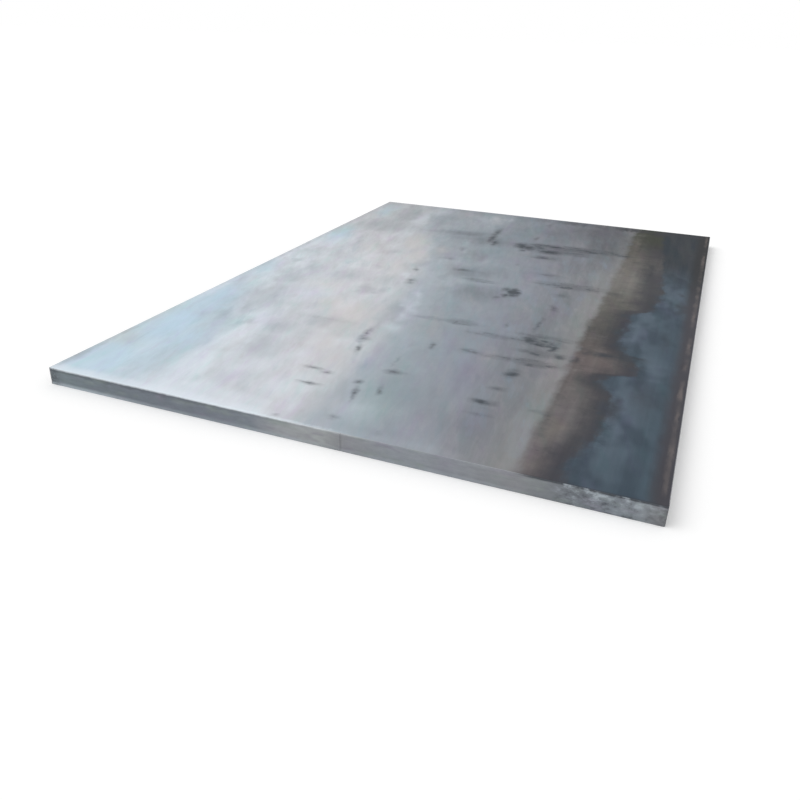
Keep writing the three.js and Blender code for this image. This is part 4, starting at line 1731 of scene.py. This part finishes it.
@dataclass(frozen=True)
class Studio:
    """A pale floor, even white light with one broad soft sun, and the camera."""

    camera_place: tuple[float, float, float] = (0.942, -3.238, 1.128)
    camera_heading: float = 21.94
    camera_dip: float = 26.27
    camera_roll: float = 1.42
    lens: float = 34.32
    shift: tuple[float, float] = (0.013, -0.0016)
    sky: float = 0.72
    sun: float = 1.0
    sun_heading: float = 110.0
    sun_height: float = 55.0
    sun_spread: float = 50.0
    floor_size: float = 120.0
    floor_tint: Tint = Tint(247, 247, 247)
    floor_lift: float = 0.12
    floor_gap: float = 0.5 * MM

    def build(self) -> None:
        """Adds the world, the sun, the floor and the camera."""
        scene = bpy.context.scene
        scene.view_settings.view_transform = "Standard"
        self._world(scene)
        self._sun(scene)
        self._floor(scene)
        self._camera(scene)

    def _turn(self, heading: float, dip: float, roll: float = 0.0) -> Matrix:
        """The turn of something that looks along its own -Z.

        Args:
            heading: how far it is turned left from +Y, in degrees.
            dip: how far it looks down, in degrees.
            roll: how far it is turned about its own line of sight, in degrees.

        Returns:
            The turn as a 4 by 4 matrix.
        """
        return (
            Matrix.Rotation(math.radians(heading), 4, "Z")
            @ Matrix.Rotation(math.radians(90 - dip), 4, "X")
            @ Matrix.Rotation(math.radians(roll), 4, "Z")
        )

    def _world(self, scene: bpy.types.Scene) -> None:
        """White to the eye and in reflections, and a little less as a lamp.

        Args:
            scene: the scene.
        """
        world = bpy.data.worlds.new("white_room")
        world.use_nodes = True
        scene.world = world
        tree = world.node_tree
        back = tree.nodes["Background"]
        back.inputs["Color"].default_value = (1.0, 1.0, 1.0, 1.0)
        path = tree.nodes.new("ShaderNodeLightPath")
        seen = path.outputs["Is Camera Ray"]
        for name in ("Is Glossy Ray", "Is Transmission Ray"):
            either = tree.nodes.new("ShaderNodeMath")
            either.operation = "MAXIMUM"
            tree.links.new(seen, either.inputs[0])
            tree.links.new(path.outputs[name], either.inputs[1])
            seen = either.outputs[0]
        level = tree.nodes.new("ShaderNodeMapRange")
        tree.links.new(seen, level.inputs["Value"])
        level.inputs["To Min"].default_value = self.sky
        tree.links.new(level.outputs[0], back.inputs["Strength"])

    def _sun(self, scene: bpy.types.Scene) -> None:
        """One broad sun behind the plate's left side.

        Args:
            scene: the scene.
        """
        lamp = bpy.data.lights.new("broad_sun", "SUN")
        lamp.energy = self.sun
        lamp.angle = math.radians(self.sun_spread)
        sun = bpy.data.objects.new("broad_sun", lamp)
        sun.matrix_world = self._turn(self.sun_heading + 180, self.sun_height)
        scene.collection.objects.link(sun)

    def _floor(self, scene: bpy.types.Scene) -> None:
        """A flat square whose colour is lifted to white for the camera alone, so that it keeps the shadow.

        Args:
            scene: the scene.
        """
        g = Graph("floor")
        matte = g.node("BsdfDiffuse", {"Color": self.floor_tint})
        lift = g.times(g.node("LightPath").outputs["Is Camera Ray"], self.floor_lift)
        glow = g.node("Emission", {"Strength": lift})
        both = g.node("AddShader", {0: matte.outputs[0], 1: glow.outputs[0]})
        g.node("OutputMaterial", {"Surface": both.outputs[0]})
        half = self.floor_size / 2
        mesh = bpy.data.meshes.new("floor")
        mesh.from_pydata([(-half, -half, 0), (half, -half, 0), (half, half, 0), (-half, half, 0)], [], [(0, 1, 2, 3)])
        mesh.materials.append(g.material)
        floor = bpy.data.objects.new("floor", mesh)
        floor.location.z = CAD_BOX[0][2] - self.floor_gap
        scene.collection.objects.link(floor)

    def _camera(self, scene: bpy.types.Scene) -> None:
        """The camera at a standing person's eyes, near the plate's right end.

        Args:
            scene: the scene.
        """
        lens = bpy.data.cameras.new("camera")
        lens.lens = self.lens
        lens.shift_x, lens.shift_y = self.shift
        camera = bpy.data.objects.new("camera", lens)
        place = Matrix.Translation(self.camera_place)
        camera.matrix_world = place @ self._turn(self.camera_heading, self.camera_dip, self.camera_roll)
        scene.collection.objects.link(camera)
        scene.camera = camera


def main() -> None:
    logging.basicConfig(level=logging.INFO, format="%(name)s: %(message)s")
    Studio().build()
    log.info("studio: floor, world, sun and camera")
    plate = Plate(*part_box("plate"))
    piece = plate.build({
        Finish.TOP: RolledTop().material(plate),
        Finish.CUT: TorchCut().material(plate),
        Finish.UNDERSIDE: RolledUnderside().material(),
    })
    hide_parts("plate")
    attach(piece, "root")
    log.info("%s: %d points, %d faces", piece.name, len(piece.data.vertices), len(piece.data.polygons))


if __name__ == "__main__":
    main()
